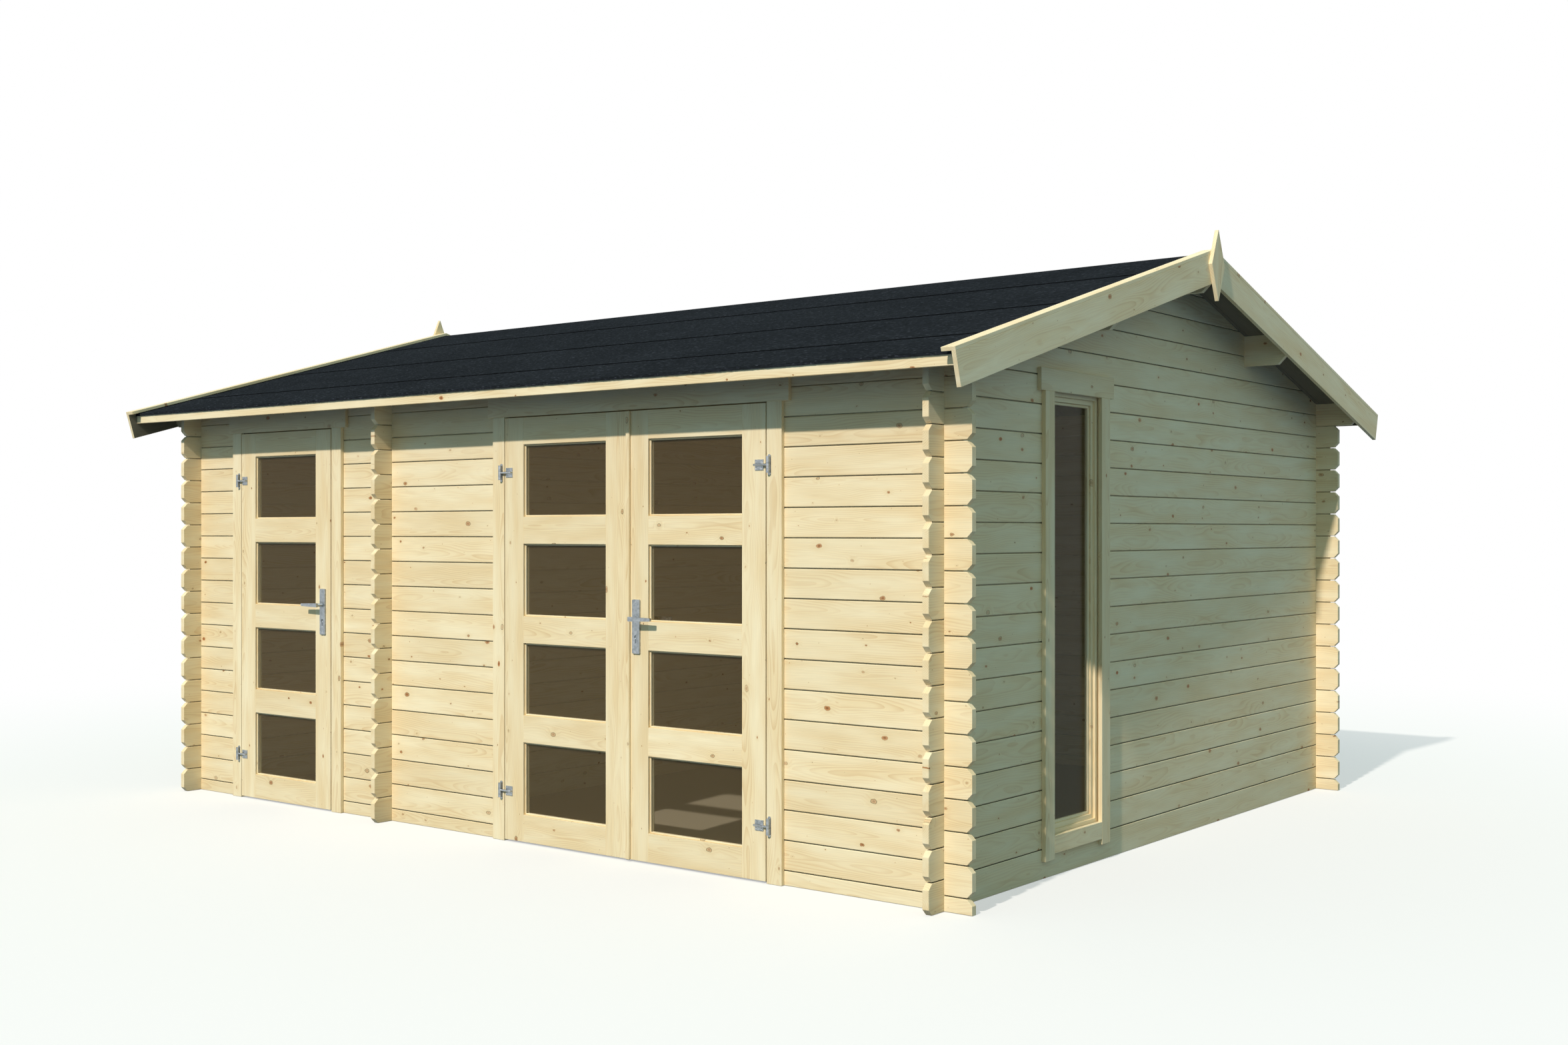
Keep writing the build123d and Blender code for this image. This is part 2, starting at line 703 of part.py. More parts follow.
# Door leaves: name, hinge edge, and the way that the leaf runs from it
leaves = (
    ("single_door", single_door_x - single_clear / 2 + hinge_gap, 1),
    ("double_door_left", double_door_x - double_clear / 2 + hinge_gap, 1),
    ("double_door_right", double_door_x + double_clear / 2 - hinge_gap, -1),
)
leaves_with_lever = ("single_door", "double_door_right")
leaf_face = Plane.XZ.offset(-leaf_face_y)
bead_span = 2 * bead_depth + glass_thickness
glass_width = pane_width - 2 * bead_width + 2 * glass_bite
glass_height = pane_height - 2 * bead_width + 2 * glass_bite
spindle_hole = spindle_radius + spindle_clearance
for name, hinge_edge, way in leaves:
    latch_edge = hinge_edge + way * leaf_width
    leaf_x = (hinge_edge + latch_edge) / 2
    spindle_x = latch_edge - way * backset
    pane_places = [(leaf_x, z) for z in pane_heights]
    with BuildPart() as leaf:
        with BuildSketch(Plane.XY.offset(leaf_lift)):
            with BuildLine():
                Polyline(
                    (hinge_edge, leaf_face_y),
                    (latch_edge, leaf_face_y),
                    (latch_edge - way * latch_bevel, leaf_face_y + leaf_thickness),
                    (hinge_edge, leaf_face_y + leaf_thickness),
                    close=True,
                )
            make_face()
        extrude(amount=leaf_height)
        with BuildSketch(leaf_face):
            with Locations(*pane_places):
                Rectangle(pane_width, pane_height)
        extrude(amount=-bead_setback, mode=Mode.SUBTRACT)
        with BuildSketch(leaf_face.offset(-bead_setback)):
            with Locations(*pane_places):
                Rectangle(pane_width - 2 * bead_width, pane_height - 2 * bead_width)
        extrude(amount=-bead_span, mode=Mode.SUBTRACT)
        with BuildSketch(leaf_face.offset(-bead_setback - bead_depth)):
            with Locations(*pane_places):
                Rectangle(glass_width, glass_height)
        extrude(amount=-glass_thickness, mode=Mode.SUBTRACT)
        with BuildSketch(leaf_face.offset(-bead_setback - bead_span)):
            with Locations(*pane_places):
                Rectangle(pane_width, pane_height)
        extrude(amount=-leaf_thickness, mode=Mode.SUBTRACT)
        if name in leaves_with_lever:
            with BuildSketch(leaf_face):
                with Locations((spindle_x, spindle_height)):
                    Circle(spindle_hole)
            extrude(amount=-leaf_thickness, mode=Mode.SUBTRACT)
    leaf.part.label = f"{name}_leaf"
    export_step(leaf.part, f"parts/{name}_leaf.step")

    with BuildPart() as glass:
        with BuildSketch(leaf_face.offset(-bead_setback - bead_depth)):
            with Locations(*pane_places):
                Rectangle(glass_width, glass_height)
        extrude(amount=-glass_thickness)
    glass.part.label = f"{name}_glass"
    export_step(glass.part, f"parts/{name}_glass.step")

# Astragal over the meeting stiles, on the leaf that opens first
active_name, active_hinge_edge, active_way = leaves[2]
active_latch_edge = active_hinge_edge + active_way * leaf_width
with BuildPart() as double_door_astragal:
    with BuildSketch(leaf_face):
        with Locations((active_latch_edge - active_way * astragal_width / 2, leaf_middle_z)):
            Rectangle(astragal_width, leaf_height)
    extrude(amount=astragal_thickness)
double_door_astragal.part.label = "double_door_astragal"
export_step(double_door_astragal.part, "parts/double_door_astragal.step")

# Hinges: fixed pins with two knuckles on the side trims, and an eye with a strap on each leaf
trim_face = front_face.offset(trim_thickness)
knuckle_start = eye_height / 2 + eye_end_clearance
knuckle_end = barrel_length / 2
knuckle_length = knuckle_end - knuckle_start
with BuildPart() as door_hinge_pins:
    for name, hinge_edge, way in leaves:
        hinge_x = hinge_edge - way * hinge_outset
        for height in hinge_heights:
            with BuildSketch(trim_face):
                with Locations((hinge_x, height)):
                    SlotOverall(hinge_base_height, hinge_base_width, rotation=90)
            extrude(amount=hinge_base_thickness)
            with BuildSketch(Plane.XY.offset(height - barrel_length / 2)):
                with Locations((hinge_x, hinge_y)):
                    Circle(pin_radius)
            extrude(amount=barrel_length)
            for knuckle_bottom in (height - knuckle_end, height + knuckle_start):
                with BuildSketch(Plane.XY.offset(knuckle_bottom)):
                    with Locations((hinge_x, hinge_y)):
                        Circle(barrel_radius)
                    with Locations((hinge_x, hinge_y + hinge_standoff / 2)):
                        Rectangle(barrel_radius, hinge_standoff)
                extrude(amount=knuckle_length)
door_hinge_pins.part.label = "door_hinge_pins"
export_step(door_hinge_pins.part, "parts/door_hinge_pins.step")

strap_reach = hinge_outset + strap_inset + strap_plate
plate_face_y = leaf_face_y - strap_plate_thickness
for name, hinge_edge, way in leaves:
    hinge_x = hinge_edge - way * hinge_outset
    plate_x = hinge_edge + way * (strap_inset + strap_plate / 2)
    with BuildPart() as hinge_straps:
        for height in hinge_heights:
            with BuildSketch(leaf_face):
                with Locations((plate_x, height)):
                    Rectangle(strap_plate, strap_plate)
            extrude(amount=strap_plate_thickness)
            with BuildSketch(Plane.XZ.offset(-plate_face_y)):
                with Locations((plate_x, height)):
                    Rectangle(strap_plate, strap_rib)
            extrude(amount=plate_face_y - hinge_y)
            with BuildSketch(Plane.YZ.offset(hinge_x)):
                with Locations((hinge_y, height)):
                    Circle(strap_radius)
            extrude(amount=way * strap_reach)
            with BuildSketch(Plane.XY.offset(height - eye_height / 2)):
                with Locations((hinge_x, hinge_y)):
                    Circle(barrel_radius)
            extrude(amount=eye_height)
            with BuildSketch(Plane.XY.offset(height - eye_height / 2)):
                with Locations((hinge_x, hinge_y)):
                    Circle(pin_radius + pin_clearance)
            extrude(amount=eye_height, mode=Mode.SUBTRACT)
    hinge_straps.part.label = f"{name}_hinge_straps"
    export_step(hinge_straps.part, f"parts/{name}_hinge_straps.step")

# Handle plates on both faces of a leaf, and the lever handles on one spindle through it
inner_leaf_face = leaf_face.offset(-leaf_thickness)
plate_z = spindle_height - plate_drop
for name, hinge_edge, way in leaves:
    if name not in leaves_with_lever:
        continue
    spindle_x = hinge_edge + way * (leaf_width - backset)
    with BuildPart() as handle_plates:
        for face, outward in ((leaf_face, 1), (inner_leaf_face, -1)):
            with BuildSketch(face):
                with Locations((spindle_x, plate_z)):
                    RectangleRounded(plate_width, plate_height, plate_corner)
                with Locations((spindle_x, spindle_height)):
                    Circle(neck_radius + neck_clearance, mode=Mode.SUBTRACT)
            extrude(amount=outward * plate_thickness)
            with BuildSketch(face.offset(outward * plate_thickness / 2)):
                with Locations((spindle_x, spindle_height - keyway_drop)):
                    Circle(keyway_radius)
                with Locations((spindle_x, spindle_height - keyway_drop - keyway_length / 2)):
                    SlotCenterToCenter(keyway_length / 2, keyway_slot, rotation=90)
            extrude(amount=outward * plate_thickness, mode=Mode.SUBTRACT)
    handle_plates.part.label = f"{name}_handle_plates"
    export_step(handle_plates.part, f"parts/{name}_handle_plates.step")

    with BuildPart() as lever:
        with BuildSketch(leaf_face):
            with Locations((spindle_x, spindle_height)):
                Circle(spindle_radius)
        extrude(amount=-leaf_thickness)
        for face, outward in ((leaf_face, 1), (inner_leaf_face, -1)):
            with BuildSketch(face):
                with Locations((spindle_x, spindle_height)):
                    Circle(neck_radius)
            extrude(amount=outward * (plate_thickness + neck_length))
            with BuildSketch(face.offset(outward * (plate_thickness + neck_length))):
                with BuildLine():
                    Polyline(
                        (spindle_x + way * neck_radius, spindle_height - lever_root / 2),
                        (spindle_x + way * neck_radius, spindle_height + lever_root / 2),
                        (spindle_x - way * lever_length, spindle_height + lever_tip / 2),
                        (spindle_x - way * lever_length, spindle_height - lever_tip / 2),
                        close=True,
                    )
                make_face()
            extrude(amount=-outward * lever_thickness)
        fillet(lever.edges().filter_by(Axis.Y).filter_by(GeomType.LINE), lever_edge)
    lever.part.label = f"{name}_lever"
    export_step(lever.part, f"parts/{name}_lever.step")
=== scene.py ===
"""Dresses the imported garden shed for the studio.

The shed is built of interlocking spruce logs under a felted gable roof, with a glazed single
door, a glazed double door and one tall window. Every length of timber is modelled on its own,
with its own grain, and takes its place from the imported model.
"""

from __future__ import annotations

import json
import logging
import math
import random
from collections.abc import Callable, Iterable
from dataclasses import dataclass, field, replace
from enum import Enum, IntEnum
from functools import partial
from itertools import product

import bmesh
import bpy
from bmesh.types import BMEdge, BMesh, BMVert
from bpy.types import Material, MeshPolygon, Node, NodeSocket, NodeTree, Object, World
from mathutils import Matrix, Vector, noise

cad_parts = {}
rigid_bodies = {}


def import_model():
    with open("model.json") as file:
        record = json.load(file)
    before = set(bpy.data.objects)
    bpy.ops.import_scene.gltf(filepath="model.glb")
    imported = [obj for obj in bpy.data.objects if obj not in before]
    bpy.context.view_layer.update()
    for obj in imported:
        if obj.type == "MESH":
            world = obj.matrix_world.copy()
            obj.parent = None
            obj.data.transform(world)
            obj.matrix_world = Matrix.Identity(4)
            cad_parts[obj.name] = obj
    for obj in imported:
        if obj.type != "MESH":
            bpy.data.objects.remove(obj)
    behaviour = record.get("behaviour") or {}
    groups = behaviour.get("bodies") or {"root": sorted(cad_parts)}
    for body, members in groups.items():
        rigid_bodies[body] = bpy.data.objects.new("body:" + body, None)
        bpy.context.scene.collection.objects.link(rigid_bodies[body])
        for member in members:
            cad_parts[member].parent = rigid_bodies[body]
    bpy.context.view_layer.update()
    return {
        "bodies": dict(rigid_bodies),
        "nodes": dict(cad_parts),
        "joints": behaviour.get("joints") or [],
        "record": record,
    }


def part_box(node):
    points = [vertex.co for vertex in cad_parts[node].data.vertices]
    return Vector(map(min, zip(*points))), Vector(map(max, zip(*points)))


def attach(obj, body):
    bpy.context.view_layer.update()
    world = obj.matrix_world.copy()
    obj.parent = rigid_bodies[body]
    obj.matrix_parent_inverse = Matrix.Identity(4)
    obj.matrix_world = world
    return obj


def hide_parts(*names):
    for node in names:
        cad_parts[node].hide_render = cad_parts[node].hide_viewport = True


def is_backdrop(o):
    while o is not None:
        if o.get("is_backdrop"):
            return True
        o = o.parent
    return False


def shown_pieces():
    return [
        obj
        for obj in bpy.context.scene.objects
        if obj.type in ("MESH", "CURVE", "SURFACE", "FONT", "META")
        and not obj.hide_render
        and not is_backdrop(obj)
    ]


LOG = logging.getLogger("garden_shed")

MM = 0.001
HAIR = 1e-6
SEED = 4805

# Least cosines of the angle between ways that are nearly the same, and of that between ways
# that lie more along each other than across, and the least turn of an edge that is eased
NEARLY_SAME = 0.99
MORE_ALONG_THAN_ACROSS = math.sqrt(0.5)
SHARP = math.radians(20)

# Settings of nodes, and the numbers of a colour mix's sockets, whose names others share
PRODUCT = {"operation": "MULTIPLY"}
PRODUCT_AND_SUM = {"operation": "MULTIPLY_ADD"}
SOFTLY = {"interpolation_type": "SMOOTHSTEP"}
IN_COLOUR = {"data_type": "RGBA"}
TINTING = {"data_type": "RGBA", "blend_type": "MULTIPLY"}
SHARE = 0
UNDER = 6
OVER = 7

# Adds a node to one tree, and is given the rest of what add_node takes
Adder = Callable[..., Node]


class Run(Enum):
    """The building axis that a timber's grain runs along."""

    RIDGE = 0
    DEPTH = 1
    HEIGHT = 2

    @property
    def way(self) -> Vector:
        """Give the unit vector along this axis."""
        return Vector([float(axis == self.value) for axis in range(3)])


class Slope(IntEnum):
    """A slope of the roof, as the sign of its side of the ridge."""

    FRONT = -1
    BACK = 1


class Slot(Enum):
    """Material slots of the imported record."""

    LOG = "log_spruce"
    PLANED = "planed_spruce"
    FELT = "roofing_felt"
    STEEL = "galvanised_steel"


def linear_colour(code: str) -> tuple[float, float, float, float]:
    """Turn an sRGB hex colour into linear values.

    Args:
        code: Six hex digits after a hash sign.

    Returns:
        Linear red, green, blue and an alpha of one.
    """
    channels = [int(code[place : place + 2], 16) / 255 for place in (1, 3, 5)]
    linear = [c / 12.92 if c <= 0.04045 else ((c + 0.055) / 1.055) ** 2.4 for c in channels]
    return (linear[0], linear[1], linear[2], 1.0)


def add_node(
    tree: NodeTree,
    kind: str,
    settings: dict[str, object] | None = None,
    inputs: dict[str | int, object] | None = None,
) -> Node:
    """Add a node, set its properties, and set or link its inputs.

    Args:
        tree: Node tree that takes the node.
        kind: Type name of the node, without the word that all of them start with.
        settings: Properties of the node itself.
        inputs: Sockets by name or number. Each has a value, a hex colour, the socket that feeds
            it, or the node whose first output in use feeds it.

    Returns:
        The new node.
    """
    node = tree.nodes.new(f"ShaderNode{kind}")
    for name, value in (settings or {}).items():
        setattr(node, name, value)
    for name, value in (inputs or {}).items():
        if isinstance(value, Node):
            value = next(output for output in value.outputs if output.enabled)
        if isinstance(value, NodeSocket):
            tree.links.new(value, node.inputs[name])
        else:
            node.inputs[name].default_value = linear_colour(value) if isinstance(value, str) else value
    return node


def adder(owner: Material | World) -> Adder:
    """Empty the node tree of a material or a world.

    Args:
        owner: The material or the world.

    Returns:
        The function that adds nodes to that tree.
    """
    owner.use_nodes = True
    owner.node_tree.nodes.clear()
    return partial(add_node, owner.node_tree)


@dataclass(frozen=True)
class Finish:
    """A named finish, the base of all the materials."""

    name: str

    def build(self) -> Material:
        """Make the material with its shader and its own pattern.

        Returns:
            The finished material.
        """
        material = bpy.data.materials.new(self.name)
        add = adder(material)
        add("OutputMaterial", {}, {"Surface": add("BsdfPrincipled", {}, self.dress(add))})
        return material

    def dress(self, add: Adder) -> dict[str, object]:
        """Add the pattern of this finish, and give the inputs of its shader."""
        raise NotImplementedError


@dataclass(frozen=True)
class PlanedSpruce(Finish):
    """Untreated spruce: cream sapwood with soft amber rings, pale patches and small knots.

    Planing leaves it satin, so that the eye sees its figure. Faces left as sawn are fuzzy, greyer
    and matt, in the same pattern, and take much darker colours as painted shade.
    """

    pale: str = "#F6E8C4"
    body: str = "#EED9AD"
    warm: str = "#E3C997"
    ring: str = "#C89C60"
    knot: str = "#B8763C"
    knot_heart: str = "#7A4F28"
    bark: str = "#6B5F3C"
    roughness: float = 0.62

    # Metres that a wave takes along the grain and across it, from how many there are to a metre.
    # Real fibres are far finer, and are drawn wider so that they show
    patches: tuple[float, float] = (1 / 2.4, 1 / 15)
    wander: tuple[float, float] = (1 / 1.3, 1 / 6)
    fibres: tuple[float, float] = (1 / 9, 1 / 380)
    fibre_relief: float = 0.4 * MM

    # Real rings are 2 or 3 mm apart, and are drawn wider so that they show
    ring_gap: float = 6.5 * MM
    rings_moved: float = 15.0
    rings_round_knots: float = 1.4

    # One branch to each stretch of this length and width, most of them thin
    knot_length: float = 170 * MM
    knot_width: float = 105 * MM
    knot_radius: float = 9 * MM
    knot_least: float = 0.9 * MM
    knot_rarity: float = 7.0
    knot_uneven: float = 18 * MM
    knot_lean: float = 9 * MM

    def dress(self, add: Adder) -> dict[str, object]:
        """Add rings, knots, patches and fibres, all laid out along each timber's own grain.

        Args:
            add: Adds a node to the material.

        Returns:
            The inputs of its shader.
        """
        grain = add("Attribute", {"attribute_name": "grain"}).outputs["Vector"]
        tone = add("Attribute", {"attribute_name": "tone"}).outputs["Fac"]
        clouds = []
        for length, width in (self.patches, self.wander, self.fibres):
            drawn = add("Mapping", {}, {"Vector": grain, "Scale": (1 / length, 1 / width, 1 / width)})
            clouds.append(add("TexNoise", {}, {"Vector": drawn, "Scale": 1.0, "Detail": 2.0}))
        patches, wander, fibres = clouds

        # Each fades in between two shares of a knot's radius
        ratio, luck = self.branches(add, grain)
        halo, edge, heart, rim_outside, rim_inside = (
            add("MapRange", SOFTLY, {"Value": ratio, "From Min": start, "From Max": end})
            for start, end in ((4.5, 0.9), (1.1, 0.85), (0.75, 0.2), (1.2, 1.0), (0.75, 0.95))
        )

        # Rings stand out in some stretches and nearly vanish in others
        plain = {"Value": patches, "From Min": 0.66, "From Max": 0.36, "To Min": 0.05, "To Max": 0.38}
        rings = self.rings(add, grain, wander, halo)
        show = add("Math", PRODUCT, {0: rings, 1: add("MapRange", {}, plain)})

        # Cream sapwood, whole timbers that are warmer, rings, the warmer wood around a knot, its
        # amber wood and darker heart, and a thin dark rim of bark round some of them
        cream = add("MapRange", {}, {"Value": patches, "From Min": 0.34, "From Max": 0.74})
        depth = add("Math", PRODUCT_AND_SUM, {0: luck.outputs[1], 1: 0.7, 2: 0.25})
        rim = add("Math", PRODUCT, {0: rim_outside, 1: rim_inside})
        colour: object = self.body
        for share, times, over in (
            (cream, 1.0, self.pale),
            (tone, 0.2, self.warm),
            (show, 1.0, self.ring),
            (halo, 0.3, self.warm),
            (edge, depth, self.knot),
            (heart, depth, self.knot_heart),
            (rim, luck.outputs[2], self.bark),
        ):
            part = add("Math", PRODUCT, {0: share, 1: times})
            colour = add("Mix", IN_COLOUR, {SHARE: part, UNDER: colour, OVER: over})

        # Fibres and whole timbers are lighter or darker by a few percent
        streaks = add("Math", PRODUCT_AND_SUM, {0: fibres, 1: 0.2, 2: 0.9})
        timber = add("Math", PRODUCT_AND_SUM, {0: tone, 1: -0.05, 2: 1.02})
        light = add("Math", PRODUCT, {0: streaks, 1: timber})
        relief = add("Math", PRODUCT_AND_SUM, {0: show, 1: -0.5, 2: fibres})
        return {
            "Base Color": add("Mix", TINTING, {SHARE: 1.0, UNDER: colour, OVER: light}),
            "Normal": add("Bump", {}, {"Height": relief, "Strength": 0.25, "Distance": self.fibre_relief}),
            "Roughness": self.roughness,
        }

    def branches(self, add: Adder, grain: NodeSocket) -> tuple[Node, Node]:
        """Scatter branch ends over the timber, most of them tiny and a few the size of a coin.

        Args:
            add: Adds a node to the material.
            grain: Place in the tree that the timber was sawn from.

        Returns:
            Distance from the nearest branch as a share of its radius, and three random numbers.
        """
        uneven = add("TexNoise", {}, {"Vector": grain, "Scale": 1 / self.knot_uneven, "Detail": 2.0})
        lean = {0: uneven.outputs["Color"], 1: (self.knot_lean,) * 3, 2: grain}
        stretch = {
            "Vector": add("VectorMath", PRODUCT_AND_SUM, lean),
            "Scale": (1 / self.knot_length, 1 / self.knot_width, 1.0),
        }
        nearest = add(
            "TexVoronoi",
            {"voronoi_dimensions": "2D", "feature": "F1"},
            {"Vector": add("Mapping", {}, stretch), "Scale": 1.0, "Randomness": 0.85},
        )
        luck = add("SeparateColor", {}, {0: nearest.outputs["Color"]})
        distance = add("Math", PRODUCT, {0: nearest, 1: self.knot_width})
        thick = add("Math", {"operation": "POWER"}, {0: luck.outputs[0], 1: self.knot_rarity})
        radius = add("Math", PRODUCT_AND_SUM, {0: thick, 1: self.knot_radius, 2: self.knot_least})
        return add("Math", {"operation": "DIVIDE"}, {0: distance, 1: radius}), luck

    def rings(self, add: Adder, grain: NodeSocket, wander: Node, halo: Node) -> Node:
        """Draw yearly rings: distance from the heart of the tree, wandering along it.

        Args:
            add: Adds a node to the material.
            grain: Place in the tree that the timber was sawn from.
            wander: Slow noise that moves the rings in and out.
            halo: Nearness of a knot, which the rings flow round.

        Returns:
            Strength of the late wood, which grows slowly over a year and ends at once.
        """
        crosswise = add("VectorMath", PRODUCT, {0: grain, 1: (0.0, 1.0, 1.0)})
        reach = add("VectorMath", {"operation": "LENGTH"}, {0: crosswise}).outputs["Value"]
        years = add("Math", {"operation": "DIVIDE"}, {0: reach, 1: self.ring_gap})
        years = add("Math", PRODUCT_AND_SUM, {0: wander, 1: self.rings_moved, 2: years})
        years = add("Math", PRODUCT_AND_SUM, {0: halo, 1: self.rings_round_knots, 2: years})
        year = add("Math", {"operation": "FRACT"}, {0: years})
        late, ended = (
            add("MapRange", {}, {"Value": year, "From Min": start, "From Max": end})
            for start, end in ((0.4, 0.95), (1.0, 0.95))
        )
        return add("Math", PRODUCT, {0: late, 1: ended})


@dataclass(frozen=True)
class MineralFelt(Finish):
    """Bitumen roofing felt, rolled with blue-black slate grit: quite matt, with paler grains."""

    grit: str = "#292C32"
    bitumen: str = "#1D2022"
    pale_grain: str = "#474A52"
    roughness: float = 0.92
    gloss: float = 0.0

    # Real grit is about 1 mm, and is drawn coarser so that it shows, and longer along the roll
    grit_size: float = 4 * MM
    grit_relief: float = 1 * MM
    along_roll: tuple[float, float, float] = (0.3, 1.0, 1.0)

    # Stains are some 400 mm wide: so many metres, from how many there are to a metre
    stain_size: float = 1 / 2.6

    def dress(self, add: Adder) -> dict[str, object]:
        """Add grit and soft stains.

        Args:
            add: Adds a node to the material.

        Returns:
            The inputs of its shader.
        """
        place = add("TexCoord").outputs["Object"]
        rolled = add("Mapping", {}, {"Vector": place, "Scale": self.along_roll})
        grains = add("TexVoronoi", {}, {"Vector": rolled, "Scale": 1 / self.grit_size})
        luck = add("SeparateColor", {}, {0: grains.outputs["Color"]})
        slate = add("Mix", IN_COLOUR, {SHARE: luck.outputs[0], UNDER: self.bitumen, OVER: self.grit})
        rare = add("MapRange", {}, {"Value": luck.outputs[1], "From Min": 0.9, "To Max": 0.8})
        mixed = add("Mix", IN_COLOUR, {SHARE: rare, UNDER: slate, OVER: self.pale_grain})
        stains = add("TexNoise", {}, {"Vector": place, "Scale": 1 / self.stain_size, "Detail": 5.0})
        spread = {"Value": stains, "From Min": 0.3, "From Max": 0.7, "To Min": 0.88, "To Max": 1.12}
        stained = {SHARE: 1.0, UNDER: mixed, OVER: add("MapRange", {}, spread)}
        return {
            "Base Color": add("Mix", TINTING, stained),
            "Normal": add("Bump", {}, {"Height": grains, "Strength": 0.5, "Distance": self.grit_relief}),
            "Roughness": self.roughness,
            "Specular IOR Level": self.gloss,
        }


@dataclass(frozen=True)
class FloatGlass(Finish):
    """Clear glass made on molten tin: an even, glossy sheet that lets in the sun, under a faint brown film
    of painted reflection.
    """

    # Brown film over the pane: painted reflection, standing in for the dim wood inside and the surroundings
    painted_reflection_tint: str = "#8A744E"
    cover: float = 0.15
    gloss: float = 0.5
    roughness: tuple[float, float] = (0.02, 0.05)
    mark_size: float = 200 * MM

    def dress(self, add: Adder) -> dict[str, object]:
        """Let light through, and cloud the gloss with faint wiping marks.

        Args:
            add: Adds a node to the material.

        Returns:
            The inputs of its shader.
        """
        place = add("TexCoord").outputs["Object"]
        marks = add("TexNoise", {}, {"Vector": place, "Scale": 1 / self.mark_size, "Detail": 6.0})
        low, high = self.roughness
        spread = {"Value": marks, "From Min": 0.4, "From Max": 0.8, "To Min": low, "To Max": high}
        return {
            # The brown film, a painted reflection
            "Base Color": self.painted_reflection_tint,
            "Roughness": add("MapRange", {}, spread),
            "Specular IOR Level": self.gloss,
            "Alpha": self.cover,
        }


@dataclass(frozen=True)
class GalvanisedSteel(Finish):
    """Steel dipped in zinc: blue-grey and satin, mottled by the crystals of the zinc."""

    zinc: str = "#AAB1B6"
    shade: str = "#90989C"
    mottle: float = 9 * MM
    roughness: tuple[float, float] = (0.32, 0.46)

    def dress(self, add: Adder) -> dict[str, object]:
        """Add the mottled zinc and a fine unevenness of gloss.

        Args:
            add: Adds a node to the material.

        Returns:
            The inputs of its shader.
        """
        place = add("TexCoord").outputs["Object"]
        spangle = add("TexVoronoi", {}, {"Vector": place, "Scale": 1 / self.mottle}).outputs["Color"]
        luck = add("SeparateColor", {}, {0: spangle})
        satin = {"Value": luck, "To Min": self.roughness[0], "To Max": self.roughness[1]}
        return {
            "Base Color": add("Mix", IN_COLOUR, {SHARE: luck, UNDER: self.shade, OVER: self.zinc}),
            "Roughness": add("MapRange", {}, satin),
            "Metallic": 1.0,
        }


def both_ends(low: float, high: float, width: float) -> tuple[tuple[float, float], tuple[float, float]]:
    """Give the start and the end of a part of one width at either end of a stretch."""
    return (low, low + width), (high - width, high)


def absorb(whole: BMesh, part: BMesh) -> None:
    """Move everything in one mesh into another.

    Args:
        whole: Mesh that takes it in.
        part: Mesh that is emptied and freed.
    """
    passing = bpy.data.meshes.new("passing")
    part.to_mesh(passing)
    part.free()
    whole.from_mesh(passing)
    bpy.data.meshes.remove(passing)


def put_in_scene(name: str, shape: BMesh, materials: Iterable[Material]) -> Object:
    """Make an object of a mesh and put it in the scene.

    Args:
        name: Name of the object.
        shape: Its shape, which is freed.
        materials: Its finishes.

    Returns:
        The new object.
    """
    mesh = bpy.data.meshes.new(name)
    shape.to_mesh(mesh)
    shape.free()
    for material in materials:
        mesh.materials.append(material)
    made = bpy.data.objects.new(name, mesh)
    bpy.context.scene.collection.objects.link(made)
    return made


def declare(piece: Object, body: str, slot: Slot, nodes: tuple[str, ...] = ()) -> None:
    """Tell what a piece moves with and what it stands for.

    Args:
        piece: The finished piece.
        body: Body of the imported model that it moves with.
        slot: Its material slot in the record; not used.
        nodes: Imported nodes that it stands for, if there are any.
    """
    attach(piece, body)
    if nodes:
        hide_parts(*nodes)
    LOG.info("%s: %d faces, rides on %s", piece.name, len(piece.data.polygons), body)


@dataclass(frozen=True)
class Cut:
    """A saw cut through a timber."""

    point: Vector
    away: Vector

    def saw(self, board: BMesh) -> None:
        """Cut a board and close the sawn face.

        Args:
            board: Closed mesh, of which the side that away points to is dropped.
        """
        parts = board.verts[:] + board.edges[:] + board.faces[:]
        made = bmesh.ops.bisect_plane(
            board, geom=parts, dist=HAIR, plane_co=self.point, plane_no=self.away, clear_outer=True
        )
        rim = [part for part in made["geom_cut"] if isinstance(part, BMEdge)]
        if rim:
            bmesh.ops.holes_fill(board, edges=rim, sides=0)


@dataclass(frozen=True)
class Timber:
    """A straight length of timber, given by two opposite corners.

    The corners are in the timber's own frame, which turn then puts in its place. The cuts are
    given in the building's frame. Its long edges can be taken off wider than the others.
    """

    low: Vector
    high: Vector
    run: Run
    arris: float = 0.8 * MM
    groove: float = 0.0
    cuts: tuple[Cut, ...] = ()
    turn: Matrix = field(default_factory=Matrix)

    def shape(self) -> BMesh:
        """Model the timber.

        Returns:
            A closed mesh in the building's frame, with eased arrises.
        """
        board = bmesh.new()
        size = Matrix.Diagonal(self.high - self.low).to_4x4()
        middle = Matrix.Translation((self.high + self.low) / 2)
        bmesh.ops.create_cube(board, size=1.0, matrix=self.turn @ middle @ size)
        if self.groove:
            way = (self.turn.to_3x3() @ self.run.way).normalized()
            self.ease(board, self.groove, partial(self.runs_along, way))
        for cut in self.cuts:
            cut.saw(board)
        self.ease(board, self.arris, lambda edge: edge.calc_face_angle(0.0) > SHARP)
        return board

    @staticmethod
    def runs_along(way: Vector, edge: BMEdge) -> bool:
        """Tell whether an edge lies more along a direction than across it."""
        return abs((edge.verts[1].co - edge.verts[0].co).normalized().dot(way)) > MORE_ALONG_THAN_ACROSS

    @staticmethod
    def ease(board: BMesh, width: float, chosen: Callable[[BMEdge], bool]) -> None:
        """Take the corner off some edges of a board.

        Args:
            board: The board.
            width: Width of the flat from either old face.
            chosen: Tells which edges are eased.
        """
        bmesh.ops.bevel(
            board,
            geom=[edge for edge in board.edges if chosen(edge)],
            offset=width,
            offset_type="OFFSET",
            segments=1,
            profile=0.5,
            affect="EDGES",
            material=-1,
            clamp_overlap=True,
        )


